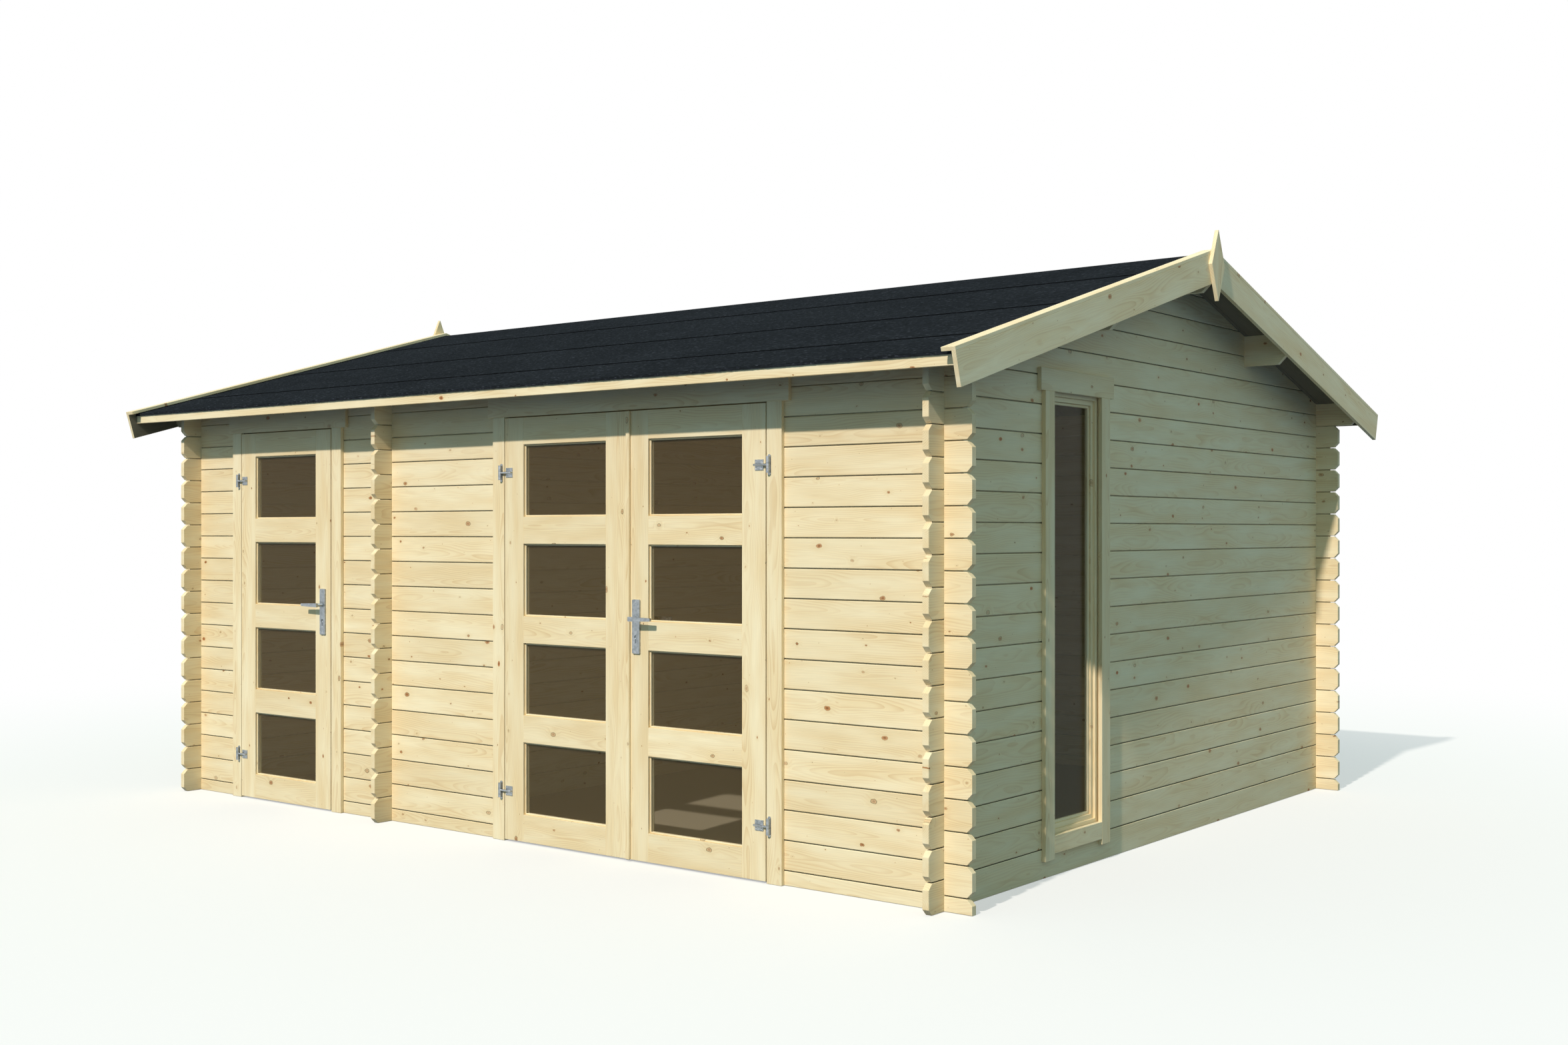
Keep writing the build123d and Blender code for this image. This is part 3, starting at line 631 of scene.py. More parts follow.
def lies_level(face: MeshPolygon) -> bool:
    """Tell whether a face looks straight up or down."""
    return abs(face.normal.z) > NEARLY_SAME


def faces_inward(face: MeshPolygon) -> bool:
    """Tell whether an upright face looks back at the middle of the building."""
    way = face.normal
    return any(abs(way[axis]) > NEARLY_SAME and way[axis] * face.center[axis] < 0 for axis in (0, 1))


@dataclass
class Carpentry:
    """A piece of the scene that is made up of many timbers.

    Each is sawn from a place of its own: so many metres along the tree, off its heart by a share
    of the timber's width, and so many millimetres out from it.
    """

    name: str
    along_tree: float = 60.0
    off_heart: float = 0.45
    from_heart: tuple[int, int] = (18, 60)

    def __post_init__(self) -> None:
        """Start an empty piece, whose name also seeds its choice of wood."""
        self.luck = random.Random(f"{SEED} {self.name}")
        self.mesh = bmesh.new()
        self.mesh.verts.layers.float_vector.new("grain")
        self.mesh.verts.layers.float.new("tone")

    def add(self, timber: Timber) -> None:
        """Add one timber, sawn from a place of its own in some tree.

        Args:
            timber: The timber to model.
        """
        board = timber.shape()
        grain = board.verts.layers.float_vector.new("grain")
        tone = board.verts.layers.float.new("tone")
        size = timber.high - timber.low
        middle = (timber.high + timber.low) / 2
        axes = sorted(range(3), key=lambda axis: (axis != timber.run.value, -size[axis]))
        sawn_from = (
            self.luck.uniform(0.0, self.along_tree),
            self.luck.uniform(-self.off_heart, self.off_heart) * size[axes[1]],
            self.luck.uniform(*self.from_heart) * MM,
        )
        shade = self.luck.random()
        back = timber.turn.inverted()
        for vert in board.verts:
            place = back @ vert.co - middle
            vert[grain] = [place[axis] + start for axis, start in zip(axes, sawn_from)]
            vert[tone] = shade
        absorb(self.mesh, board)

    def board(self, start: Iterable[float], end: Iterable[float], run: Run, **details: object) -> None:
        """Add one timber between two opposite corners, with its other fields by name."""
        pairs = list(zip(start, end))
        self.add(Timber(Vector(map(min, pairs)), Vector(map(max, pairs)), run, **details))

    def mitred(self, low: Vector, high: Vector, width: float, flat: Run, arris: float) -> None:
        """Add a mitred frame of four timbers around an upright rectangle.

        Args:
            low: Lowest corner of the frame, over its outside.
            high: Highest corner of the frame, over its outside.
            width: Width of each timber.
            flat: Axis that the rectangle faces along.
            arris: Width of the eased arris.
        """
        side = Run.RIDGE if flat is Run.DEPTH else Run.DEPTH
        for across, run in ((Run.HEIGHT, side), (side, Run.HEIGHT)):
            for outer, other, inward in ((low, high, 1), (high, low, -1)):
                inner = other.copy()
                inner[across.value] = outer[across.value] + inward * width
                cuts = []
                for tip, outward in ((low, -1), (high, 1)):
                    corner = tip.copy()
                    corner[across.value] = outer[across.value]
                    cuts.append(Cut(corner, (inward * across.way + outward * run.way).normalized()))
                self.board(outer, inner, run, arris=arris, cuts=tuple(cuts))

    def place(
        self,
        nodes: tuple[str, ...],
        material: Material,
        slot: Slot = Slot.PLANED,
        body: str = "shell",
        sawn: Material | None = None,
        takes_painted_shade: Callable[[MeshPolygon], bool] = lies_level,
    ) -> None:
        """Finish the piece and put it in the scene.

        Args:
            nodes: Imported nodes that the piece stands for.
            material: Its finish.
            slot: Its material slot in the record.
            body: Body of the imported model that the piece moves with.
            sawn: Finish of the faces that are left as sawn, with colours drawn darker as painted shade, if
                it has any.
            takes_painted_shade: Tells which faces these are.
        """
        piece = put_in_scene(self.name, self.mesh, (material, sawn) if sawn else (material,))
        # The chosen faces take the sawn finish, whose dark colours are painted shade
        if sawn:
            for face in piece.data.polygons:
                face.material_index = int(takes_painted_shade(face))
        declare(piece, body, slot, nodes)


@dataclass
class RoofForm:
    """The form of the gable roof: the underside of its boards on both slopes."""

    pitch: float = math.radians(16)

    def __post_init__(self) -> None:
        """Take the height of the ridge from the ridge purlin."""
        self.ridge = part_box("ridge_purlin")[1].z

    def out(self, side: Slope) -> Vector:
        """Give the way that a slope faces."""
        return Vector((0, side * math.sin(self.pitch), math.cos(self.pitch)))

    def turn(self, side: Slope) -> Matrix:
        """Frame of a slope: X along the ridge, Y down the slope, Z up from the boards' underside.

        Args:
            side: The slope.

        Returns:
            The matrix from the slope's frame to the building's.
        """
        along = Vector((side, 0, 0))
        down = Vector((0, side * math.cos(self.pitch), -math.sin(self.pitch)))
        turn = Matrix((along, down, self.out(side))).transposed().to_4x4()
        return Matrix.Translation((0, 0, self.ridge)) @ turn

    def trimmed(self, timber: Timber) -> Timber:
        """Cut a timber along the underside of both slopes."""
        slopes = tuple(Cut(Vector((0, 0, self.ridge)), self.out(side)) for side in Slope)
        return replace(timber, cuts=timber.cuts + slopes)

    def plumb(self, reach: float, depth: float) -> float:
        """Distance down the slope, at a depth over the boards' underside, to a plumb line."""
        return (reach - depth * math.sin(self.pitch)) / math.cos(self.pitch)


@dataclass(frozen=True)
class Log:
    """One log of a wall, given by two opposite corners.

    Its low end and its high end may stand proud of a corner of the building. Where it is
    grounded, they keep their lower corners.
    """

    low: Vector
    high: Vector
    run: Run
    proud: tuple[bool, bool]
    grounded: bool = False
    groove: float = 2 * MM
    joint: float = 4 * MM
    tongue_thickness: float = 6 * MM
    tongue_cover: float = 8 * MM
    end_chamfer: float = 23 * MM

    def timber(self) -> Timber:
        """Model the log, with a joint left open over and under it and its arrises taken off.

        Returns:
            The log, with the corners of its proud ends cut at 45 degrees.
        """
        low = self.low + Vector((0, 0, self.joint / 2 if self.low.z > HAIR else 0.0))
        high = self.high - Vector((0, 0, self.joint / 2))
        # The lower cuts of a grounded log pass under it
        bottom = low.z - 2 * self.end_chamfer if self.grounded else low.z
        cuts: list[Cut] = []
        for is_proud, tip, outward in zip(self.proud, (low, high), (-1, 1)):
            if is_proud:
                for height, upward in ((bottom + self.end_chamfer, -1), (high.z - self.end_chamfer, 1)):
                    away = (outward * self.run.way + upward * Run.HEIGHT.way).normalized()
                    cuts.append(Cut(Vector((tip.x, tip.y, height)), away))
        return Timber(low, high, self.run, groove=self.groove, cuts=tuple(cuts))

    def tongue(self) -> Timber:
        """Model the tongue that closes the joint over the log, deep in the wall.

        Returns:
            The tongue, kept back from the chamfered ends.
        """
        through = 1 - self.run.value
        centre = (self.low[through] + self.high[through]) / 2
        corners = (self.low.copy(), self.high.copy())
        for corner, is_proud, way in zip(corners, self.proud, (-1, 1)):
            corner[self.run.value] -= way * 2 * self.end_chamfer if is_proud else 0.0
            corner[through] = centre + way * self.tongue_thickness / 2
            corner.z = self.high.z + way * self.tongue_cover
        return Timber(*corners, self.run)


@dataclass
class LogWalls:
    """Walls of stacked logs, which cross at the corners with their ends standing proud."""

    spruce: Material
    # Finish of the level faces in the joints: sawn, with dark colours as painted shade
    sawn: Material
    roof: RoofForm
    course: float = 120 * MM
    purlin_chamfer: float = 40 * MM
    least_strip: float = 8 * MM

    def build(self) -> None:
        """Model every wall, the logs over the doorways and the purlins."""
        for node, proud in (
            ("front_wall_left", (True, False)),
            ("front_wall_middle", (False, False)),
            ("front_wall_right", (False, True)),
            ("back_wall", (True, True)),
        ):
            self.long_wall(node, proud)
        for node in ("gable_wall_left", "partition_wall", "gable_wall_right"):
            self.cross_wall(node)
        self.lintels()
        for node in ("front_eave_log", "back_eave_log", "ridge_purlin"):
            beam = Carpentry(f"{node}_timber")
            chamfer = self.purlin_chamfer if node == "ridge_purlin" else Log.end_chamfer
            beam.add(self.beam(*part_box(node), chamfer))
            beam.place((node,), self.spruce, Slot.LOG)
        self.mid_purlins()

    def long_wall(self, node: str, proud: tuple[bool, bool]) -> None:
        """Model one stretch of the front or back wall, whose lowest log is a half one.

        Args:
            node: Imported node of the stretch.
            proud: Whether its left end and its right end stand proud of a corner.
        """
        low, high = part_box(node)
        wall = Carpentry(f"{node}_logs")
        bottom = 0.0
        top = self.course / 2
        while bottom < high.z - HAIR:
            corners = (Vector((low.x, low.y, bottom)), Vector((high.x, high.y, top)))
            log = Log(*corners, Run.RIDGE, proud, bottom == 0.0)
            wall.add(log.timber())
            if top < high.z - HAIR:
                wall.add(log.tongue())
            bottom, top = top, top + self.course
        # The level faces in the joints take the sawn finish, drawn dark as painted shade
        wall.place((node,), self.spruce, Slot.LOG, sawn=self.sawn)

    def cross_wall(self, node: str) -> None:
        """Model a gable wall or the partition, with the logs of its gable cut under the roof.

        Args:
            node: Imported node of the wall.
        """
        low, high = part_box(node)
        front_low, front_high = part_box("front_wall_middle")
        corner_top = front_high.z + self.course / 2
        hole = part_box("window_frame") if node == "gable_wall_right" else None
        wall = Carpentry(f"{node}_logs")
        bottom = 0.0
        while bottom < high.z:
            top = bottom + self.course
            crosses = top < corner_top + HAIR
            reach = high.y if crosses else -front_low.y
            for start, end, base, head in self.parted(-reach, reach, bottom, top, hole):
                proud = (crosses and start == -reach, crosses and end == reach)
                corners = (Vector((low.x, start, base)), Vector((high.x, end, head)))
                log = Log(*corners, Run.DEPTH, proud)
                wall.add(log.timber() if crosses else self.roof.trimmed(log.timber()))
                if head == top and top < high.z - self.course / 2:
                    wall.add(self.roof.trimmed(log.tongue()))
            bottom = top
        # The level faces in the joints take the sawn finish, drawn dark as painted shade
        wall.place((node,), self.spruce, Slot.LOG, sawn=self.sawn)

    def parted(
        self, start: float, end: float, bottom: float, top: float, hole: tuple[Vector, Vector] | None
    ) -> list[tuple[float, float, float, float]]:
        """Part a log round the window.

        Args:
            start: Its low end.
            end: Its high end.
            bottom: Its underside.
            top: Its top side.
            hole: Lowest and highest corner of the hole, or nothing.

        Returns:
            Start, end, underside and top side of each piece that is left.
        """
        if hole is None or hole[0].z >= top - HAIR or hole[1].z <= bottom + HAIR:
            return [(start, end, bottom, top)]
        left = (start, hole[0].y, bottom, top)
        right = (hole[1].y, end, bottom, top)
        under = (hole[0].y, hole[1].y, bottom, hole[0].z)
        over = (hole[0].y, hole[1].y, hole[1].z, top)
        return [piece for piece in (left, right, under, over) if piece[3] - piece[2] > self.least_strip]

    def lintels(self) -> None:
        """Model the cut log that is left over each doorway."""
        low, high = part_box("front_lintels")
        lintels = Carpentry("front_lintel_logs")
        for frame in ("single_door_frame", "double_door_frame"):
            left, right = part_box(frame)
            lintels.board((left.x, low.y, low.z), (right.x, high.y, high.z), Run.RIDGE)
        lintels.place(("front_lintels",), self.spruce, Slot.LOG)

    def beam(self, low: Vector, high: Vector, chamfer: float) -> Timber:
        """Model a log that carries the roof, chamfered below at both ends and cut under the slopes.

        Args:
            low: Its lowest corner.
            high: Its highest corner.
            chamfer: Width of the chamfers.

        Returns:
            The log.
        """
        cuts = tuple(
            Cut(Vector((end.x, 0, low.z + chamfer)), Vector((outward, 0, -1)).normalized())
            for end, outward in ((low, -1), (high, 1))
        )
        return self.roof.trimmed(Timber(low, high, Run.RIDGE, cuts=cuts))

    def mid_purlins(self) -> None:
        """Model the purlin half way down each slope, as thick as the ridge purlin."""
        low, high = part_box("mid_purlins")
        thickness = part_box("ridge_purlin")[1].y * 2
        purlins = Carpentry("mid_purlin_timbers")
        for near, far in both_ends(low.y, high.y, thickness):
            corners = (Vector((low.x, near, low.z)), Vector((high.x, far, high.z)))
            purlins.add(self.beam(*corners, self.purlin_chamfer))
        purlins.place(("mid_purlins",), self.spruce, Slot.LOG)


@dataclass
class RoofCover:
    """Roof boards and the strips of felt that lie on them."""

    # Finish of the boards: sawn, with dark colours as painted shade under the roof
    sawn: Material
    felt: Material
    # Near black finish of the strips' rims: bare bitumen, and the painted shadow under each lap
    bitumen_rim_and_lap_shadow: Material
    form: RoofForm
    board_width: float = 96 * MM
    board_gap: float = 0.6 * MM
    board_thickness: float = 18 * MM
    board_arris: float = 1.2 * MM
    saw_off: float = 50 * MM
    felt_thickness: float = 3 * MM
    exposures: tuple[float, float] = (375 * MM, 631 * MM)
    lap: float = 70 * MM
    columns: int = 440
    rows: int = 12
    fold: float = 13 * MM
    clear: float = 6 * MM
    tear: float = 2.5 * MM
    tear_gap: float = 11 * MM
    ridge_reach: float = 514 * MM

    # Height of the waves in the felt, and how many there are to a metre
    wave: float = 0.9 * MM
    waves_along: float = 2.3
    waves_down: float = 3.1
    ridge_seed: float = 7.0

    def build(self) -> None:
        """Model the boards and the felt of both slopes, and then the felt over the ridge."""
        for side in Slope:
            self.boards(side)
            self.slope_felt(side)
        self.ridge_felt()

    def boards(self, side: Slope) -> None:
        """Model the boards of one slope, which run from the ridge down to the eaves.

        Args:
            side: The slope.
        """
        node = f"roof_boards_{side.name.lower()}"
        low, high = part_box(node)
        reach = max(abs(low.y), abs(high.y))
        count = round((high.x - low.x) / self.board_width)
        pitch = (high.x - low.x) / count
        foot = self.form.plumb(reach, 0.0) + self.saw_off
        cuts = (
            Cut(Vector((0, 0, 0)), Vector((0, -side, 0))),
            Cut(Vector((0, side * reach, 0)), Vector((0, side, 0))),
        )
        details = {"arris": self.board_arris, "cuts": cuts, "turn": self.form.turn(side)}
        deck = Carpentry(f"{node}_planks")
        for place in range(count):
            start = low.x + place * pitch + self.board_gap / 2
            end = low.x + (place + 1) * pitch - self.board_gap / 2
            deck.board((start, -self.saw_off, 0), (end, foot, self.board_thickness), Run.DEPTH, **details)
        # Every face of the boards takes the sawn finish, whose dark colours are painted shade under the
        # eaves
        deck.place((node,), self.sawn)

    def sheet(self, name: str, node: str, strips: list[BMesh]) -> None:
        """Join strips of felt into one piece with their real thickness.

        Args:
            name: Name of the piece.
            node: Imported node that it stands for.
            strips: Open sheets, each the underside of one strip.
        """
        whole = bmesh.new()
        for strip in strips:
            absorb(whole, strip)
        piece = put_in_scene(name, whole, (self.felt, self.bitumen_rim_and_lap_shadow))
        thick = piece.modifiers.new("thickness", "SOLIDIFY")
        thick.thickness = self.felt_thickness - self.wave
        thick.offset = 1.0
        # The rims take the near black finish: bare bitumen at the cut, and the painted shadow line under
        # each lap
        thick.material_offset_rim = 1
        declare(piece, "shell", Slot.FELT, (node,))

    def strip(self, side: Slope, start: float, end: float, width: float, lowest: bool) -> BMesh:
        """Lay one strip of felt along the slope, with its lower edge a little torn by the knife.

        Args:
            side: The slope.
            start: Distance down the slope to its upper edge.
            end: Distance down the slope to its lower edge.
            width: Its length along the ridge.
            lowest: Whether it is folded down at the eaves, and not laid on the strip below.

        Returns:
            The underside of the strip, as an open sheet.
        """
        strip = bmesh.new()
        bmesh.ops.create_grid(strip, x_segments=self.columns, y_segments=self.rows, size=0.5)
        hem = [edge for edge in strip.edges if all(vert.co.y > 0.5 - HAIR for vert in edge.verts)]
        turn = self.form.turn(side)
        for vert in strip.verts:
            across = vert.co.x * width
            down = start + (vert.co.y + 0.5) * (end - start)
            if vert.co.y > 0.5 - HAIR:
                down -= self.torn(across, end)
            # Its lower part climbs on to the strip below, over the length of one lap
            climb = 0.0 if lowest else min(max((down - end) / self.lap + 2, 0.0), 1.0)
            lift = self.felt_thickness * climb + self.waved(across, down, start + side)
            vert.co = turn @ Vector((across, down, self.board_thickness + lift))
        if lowest:
            folded = bmesh.ops.extrude_edge_only(strip, edges=hem)["geom"]
            for vert in (part for part in folded if isinstance(part, BMVert)):
                vert.co.z -= self.fold - self.torn(vert.co.x, end + self.fold)
        return strip

    def torn(self, along: float, edge: float) -> float:
        """Depth of the small tears in the lower edge of a strip, at one place along it."""
        return self.tear * (0.5 + 0.5 * noise.noise(Vector((along / self.tear_gap, edge, 0))))

    def waved(self, along: float, down: float, seed: float) -> float:
        """Height of the soft waves of a strip over its bed."""
        place = Vector((along * self.waves_along, down * self.waves_down, seed))
        return self.wave * (0.5 + 0.5 * noise.noise(place))

    def slope_felt(self, side: Slope) -> None:
        """Lay the felt of one slope, each strip over the one below it, and fold it over the fascia.

        Args:
            side: The slope.
        """
        node = f"roof_felt_{side.name.lower()}"
        low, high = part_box("roof_boards_front")
        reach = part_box("eaves_fascias")[1].y + self.clear
        packed_edge = self.form.plumb(max(abs(corner.y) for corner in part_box(node)), self.board_thickness)
        laps = [packed_edge - self.exposures[0], packed_edge - sum(self.exposures)]
        edges = [self.form.plumb(reach, self.board_thickness), *laps]
        uppers = [lap - self.lap for lap in (*laps, self.ridge_reach)]
        strips = [
            self.strip(side, upper, edge, high.x - low.x, edge == edges[0])
            for edge, upper in zip(edges, uppers)
        ]
        self.sheet(f"{node}_strips", node, strips)

    def ridge_felt(self) -> None:
        """Lay the strip that goes over the ridge, as two halves that meet there."""
        low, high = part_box("roof_boards_front")
        strip = bmesh.new()
        bmesh.ops.create_grid(strip, x_segments=self.columns, y_segments=2 * self.rows, size=0.5)
        for vert in strip.verts:
            down = 2 * vert.co.y * self.ridge_reach
            side = Slope.BACK if down > 0 else Slope.FRONT
            across = vert.co.x * (high.x - low.x)
            if abs(vert.co.y) > 0.5 - HAIR:
                down -= side * self.torn(across, side)
            seat = self.board_thickness + self.felt_thickness
            depth = seat + self.waved(across, down, self.ridge_seed)
            from_ridge = max(abs(down), self.form.plumb(0.0, depth))
            vert.co = self.form.turn(side) @ Vector((side * across, from_ridge, depth))
            if abs(down) < HAIR:
                vert.co = Vector((across, 0, self.form.ridge + depth / math.cos(self.form.pitch)))
        self.sheet("roof_felt_ridge_strip", "roof_felt_ridge", [strip])


@dataclass
class RoofEdges:
    """Barge boards with their cap strips, fascias and finials."""

    spruce: Material
    # Finish of the faces that look in under the roof: sawn, with dark colours as painted shade
    sawn: Material
    form: RoofForm
    thickness: float = RoofCover.board_thickness
    seat: float = RoofCover.board_thickness + 2 * RoofCover.felt_thickness
    barge_height: float = 130 * MM
    barge_gap: float = 0.5 * MM
    cap_thickness: float = 16 * MM
    cap_width: float = 60 * MM
    arris: float = 1.2 * MM
    past_ridge: float = 100 * MM
    finial_tip: float = 2 * MM

    def build(self) -> None:
        """Model every board that closes the edges of the roof."""
        self.barges()
        self.fascias()
        self.finials()

    def barges(self) -> None:
        """Model the four barge boards and the cap strip on each."""
        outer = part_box("barge_boards")[1].x
        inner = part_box("roof_boards_front")[1].x
        cap_top = self.seat + self.cap_thickness
        foot = self.form.plumb(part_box("barge_caps")[1].y, cap_top)
        boards = Carpentry("barge_board_planks")
        caps = Carpentry("barge_cap_strips")
        for side, end in product(Slope, (-1, 1)):
            turn = self.form.turn(side)
            meeting = (Cut(Vector((0, side * self.barge_gap, 0)), Vector((0, -side, 0))),)
            way = side * end
            for piece, start, bottom, top, arris in (
                (boards, inner, self.seat - self.barge_height, self.seat, Timber.arris),
                (caps, outer - self.cap_width, self.seat, cap_top, self.arris),
            ):
                piece.board(
                    (way * start, -self.past_ridge, bottom),
                    (way * outer, foot, top),
                    Run.DEPTH,
                    arris=arris,
                    cuts=meeting,
                    turn=turn,
                )
        # The faces that look in under the roof take the sawn finish, drawn dark as painted shade
        boards.place(("barge_boards",), self.spruce, sawn=self.sawn, takes_painted_shade=faces_inward)
        caps.place(("barge_caps",), self.spruce)

    def fascias(self) -> None:
        """Model the fascia at each eave."""
        low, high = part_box("eaves_fascias")
        fascias = Carpentry("eaves_fascia_boards")
        for near, far in both_ends(low.y, high.y, self.thickness):
            fascias.board((low.x, near, low.z), (high.x, far, high.z), Run.RIDGE)
        # The faces that look in under the roof take the sawn finish, drawn dark as painted shade
        fascias.place(("eaves_fascias",), self.spruce, sawn=self.sawn, takes_painted_shade=faces_inward)

    def finials(self) -> None:
        """Saw each finial to its long diamond from one upright board."""
        low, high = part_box("finials")
        thickness = high.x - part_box("barge_boards")[1].x
        middle = (low + high) / 2
        half = (high - low) / 2
        cuts = []
        for sideways, upward in product((-1, 1), (-1, 1)):
            corner = Vector((0, middle.y + sideways * half.y, middle.z))
            away = Vector((0, sideways * half.z, upward * (half.y - self.finial_tip))).normalized()
            cuts.append(Cut(corner, away))
        details = {"arris": self.arris, "cuts": tuple(cuts)}
        finials = Carpentry("finial_diamonds")
        for start, end in both_ends(low.x, high.x, thickness):
            finials.board((start, low.y, low.z), (end, high.y, high.z), Run.HEIGHT, **details)
        finials.place(("finials",), self.spruce)


@dataclass
class DoorLeaf:
    """A framed door leaf: two stiles, five rails, and four panes held by beads."""

    name: str
    spruce: Material
    stile: float = 121.5 * MM
    rail: float = 122 * MM
    rows: int = 4
    bead_setback: float = 10 * MM
    bead_width: float = 7 * MM
    bead_depth: float = 7 * MM
    bead_arris: float = 1.8 * MM
    glass: float = 4 * MM

    def build(self) -> None:
        """Model the leaf."""
        node = f"{self.name}_leaf"
        low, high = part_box(node)
        (_, left), (right, _) = stiles = both_ends(low.x, high.x, self.stile)
        pane = (high.z - low.z - (self.rows + 1) * self.rail) / self.rows
        rails = [low.z + row * (pane + self.rail) for row in range(self.rows + 1)]
        leaf = Carpentry(f"{node}_frame")
        for start, end in stiles:
            leaf.board((start, low.y, low.z), (end, high.y, high.z), Run.HEIGHT)
        for bottom in rails:
            leaf.board((left, low.y, bottom), (right, high.y, bottom + self.rail), Run.RIDGE)
        front = low.y + self.bead_setback
        for rail, near in product(rails[:-1], (front, front + self.bead_depth + self.glass)):
            bottom = rail + self.rail
            corners = (Vector((left, near, bottom)), Vector((right, near + self.bead_depth, bottom + pane)))
            leaf.mitred(*corners, self.bead_width, Run.DEPTH, self.bead_arris)
        leaf.place((node,), self.spruce, body=self.name)


@dataclass
class DoorSurrounds:
    """The linings and trims of both doorways, and the strip over the meeting stiles."""

    spruce: Material
    jamb: float = 22 * MM
    stop_depth: float = 15 * MM
    stop_cover: float = 12 * MM
    trim_width: float = 76 * MM
    trim_arris: float = 1.5 * MM
    head_overhang: float = 35 * MM
    astragal_arris: float = 2.5 * MM

    def build(self) -> None:
        """Model the linings, then the trims, then the strip."""
        for node in ("single_door_frame", "double_door_frame"):
            self.lining(node)
        self.trims()
        strip = Carpentry("double_door_astragal_strip")
        strip.board(*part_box("double_door_astragal"), Run.HEIGHT, arris=self.astragal_arris)
        strip.place(("double_door_astragal",), self.spruce, body="double_door_right")

    def lining(self, node: str) -> None:
        """Model the jambs and head of a doorway, with the stop behind the leaf.

        Args:
            node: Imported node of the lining.
        """
        low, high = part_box(node)
        (_, left), (right, _) = jambs = both_ends(low.x, high.x, self.jamb)
        head = high.z - self.jamb
        stop_near = high.y - self.stop_depth
        stop_head = head - self.stop_cover
        lining = Carpentry(f"{node}_lining")
        for start, end in jambs:
            lining.board((start, low.y, 0), (end, high.y, head), Run.HEIGHT)
        lining.board((low.x, low.y, head), high, Run.RIDGE)
        for start, end in both_ends(left, right, self.stop_cover):
            lining.board((start, stop_near, 0), (end, high.y, stop_head), Run.HEIGHT)
        lining.board((left, stop_near, stop_head), (right, high.y, head), Run.RIDGE)
        lining.place((node,), self.spruce)

    def trims(self) -> None:
        """Model the boards that cover the joint between the linings and the logs."""
        side_low, side_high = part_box("door_side_trims")
        head_low, head_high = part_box("door_head_trims")
        sides = Carpentry("door_side_trim_boards")
        heads = Carpentry("door_head_trim_boards")
        reach = self.trim_width + self.head_overhang
        for node in ("single_door_frame", "double_door_frame"):
            low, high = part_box(node)
            (_, left), (right, _) = both_ends(low.x, high.x, self.jamb)
            for piece, start, end, low_trim, high_trim, run in (
                (sides, left - self.trim_width, left, side_low, side_high, Run.HEIGHT),
                (sides, right, right + self.trim_width, side_low, side_high, Run.HEIGHT),
                (heads, left - reach, right + reach, head_low, head_high, Run.RIDGE),
            ):
                piece.board((start, *low_trim.yz), (end, *high_trim.yz), run, arris=self.trim_arris)
        sides.place(("door_side_trims",), self.spruce)
        heads.place(("door_head_trims",), self.spruce)


@dataclass
class GableWindow:
    """The tall fixed window in the right gable wall."""

    spruce: Material
    trim_width: float = 76 * MM
    trim_arris: float = 1.5 * MM
    bottom_board: float = 74 * MM
    frame_width: float = 35 * MM
    frame_arris: float = 1 * MM
    sash_width: float = 20 * MM
    sash_arris: float = 1.2 * MM
    bead_width: float = 12 * MM
    bead_setback: float = 8 * MM
    bead_depth: float = 16 * MM
    bead_arris: float = 2 * MM

    def build(self) -> None:
        """Model the trims, the frame and the sash with its beads."""
        self.trims()
        frame = Carpentry("window_frame_timbers")
        frame.mitred(*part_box("window_frame"), self.frame_width, Run.RIDGE, self.frame_arris)
        frame.place(("window_frame",), self.spruce)
        low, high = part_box("window_sash")
        sash = Carpentry("window_sash_timbers")
        sash.mitred(low, high, self.sash_width, Run.RIDGE, self.sash_arris)
        inset = Vector((0, self.sash_width, self.sash_width))
        low = low + inset
        high = high - inset - Vector((self.bead_setback, 0, 0))
        low.x = high.x - self.bead_depth
        sash.mitred(low, high, self.bead_width, Run.RIDGE, self.bead_arris)
        sash.place(("window_sash",), self.spruce)

    def trims(self) -> None:
        """Model the boards around the window."""
        low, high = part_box("window_side_trims")
        (_, left), (right, _) = uprights = both_ends(low.y, high.y, self.trim_width)
        arris = self.trim_arris
        sides = Carpentry("window_side_trim_boards")
        for start, end in uprights:
            sides.board((low.x, start, low.z), (high.x, end, high.z), Run.HEIGHT, arris=arris)
        sides.place(("window_side_trims",), self.spruce)
        side_top = high.z
        low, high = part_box("window_cross_trims")
        crossing = Carpentry("window_cross_trim_boards")
        crossing.board((low.x, low.y, side_top), high, Run.DEPTH, arris=arris)
        top = low.z + self.bottom_board
        crossing.board((low.x, left, low.z), (high.x, right, top), Run.DEPTH, arris=arris)
        crossing.place(("window_cross_trims",), self.spruce)


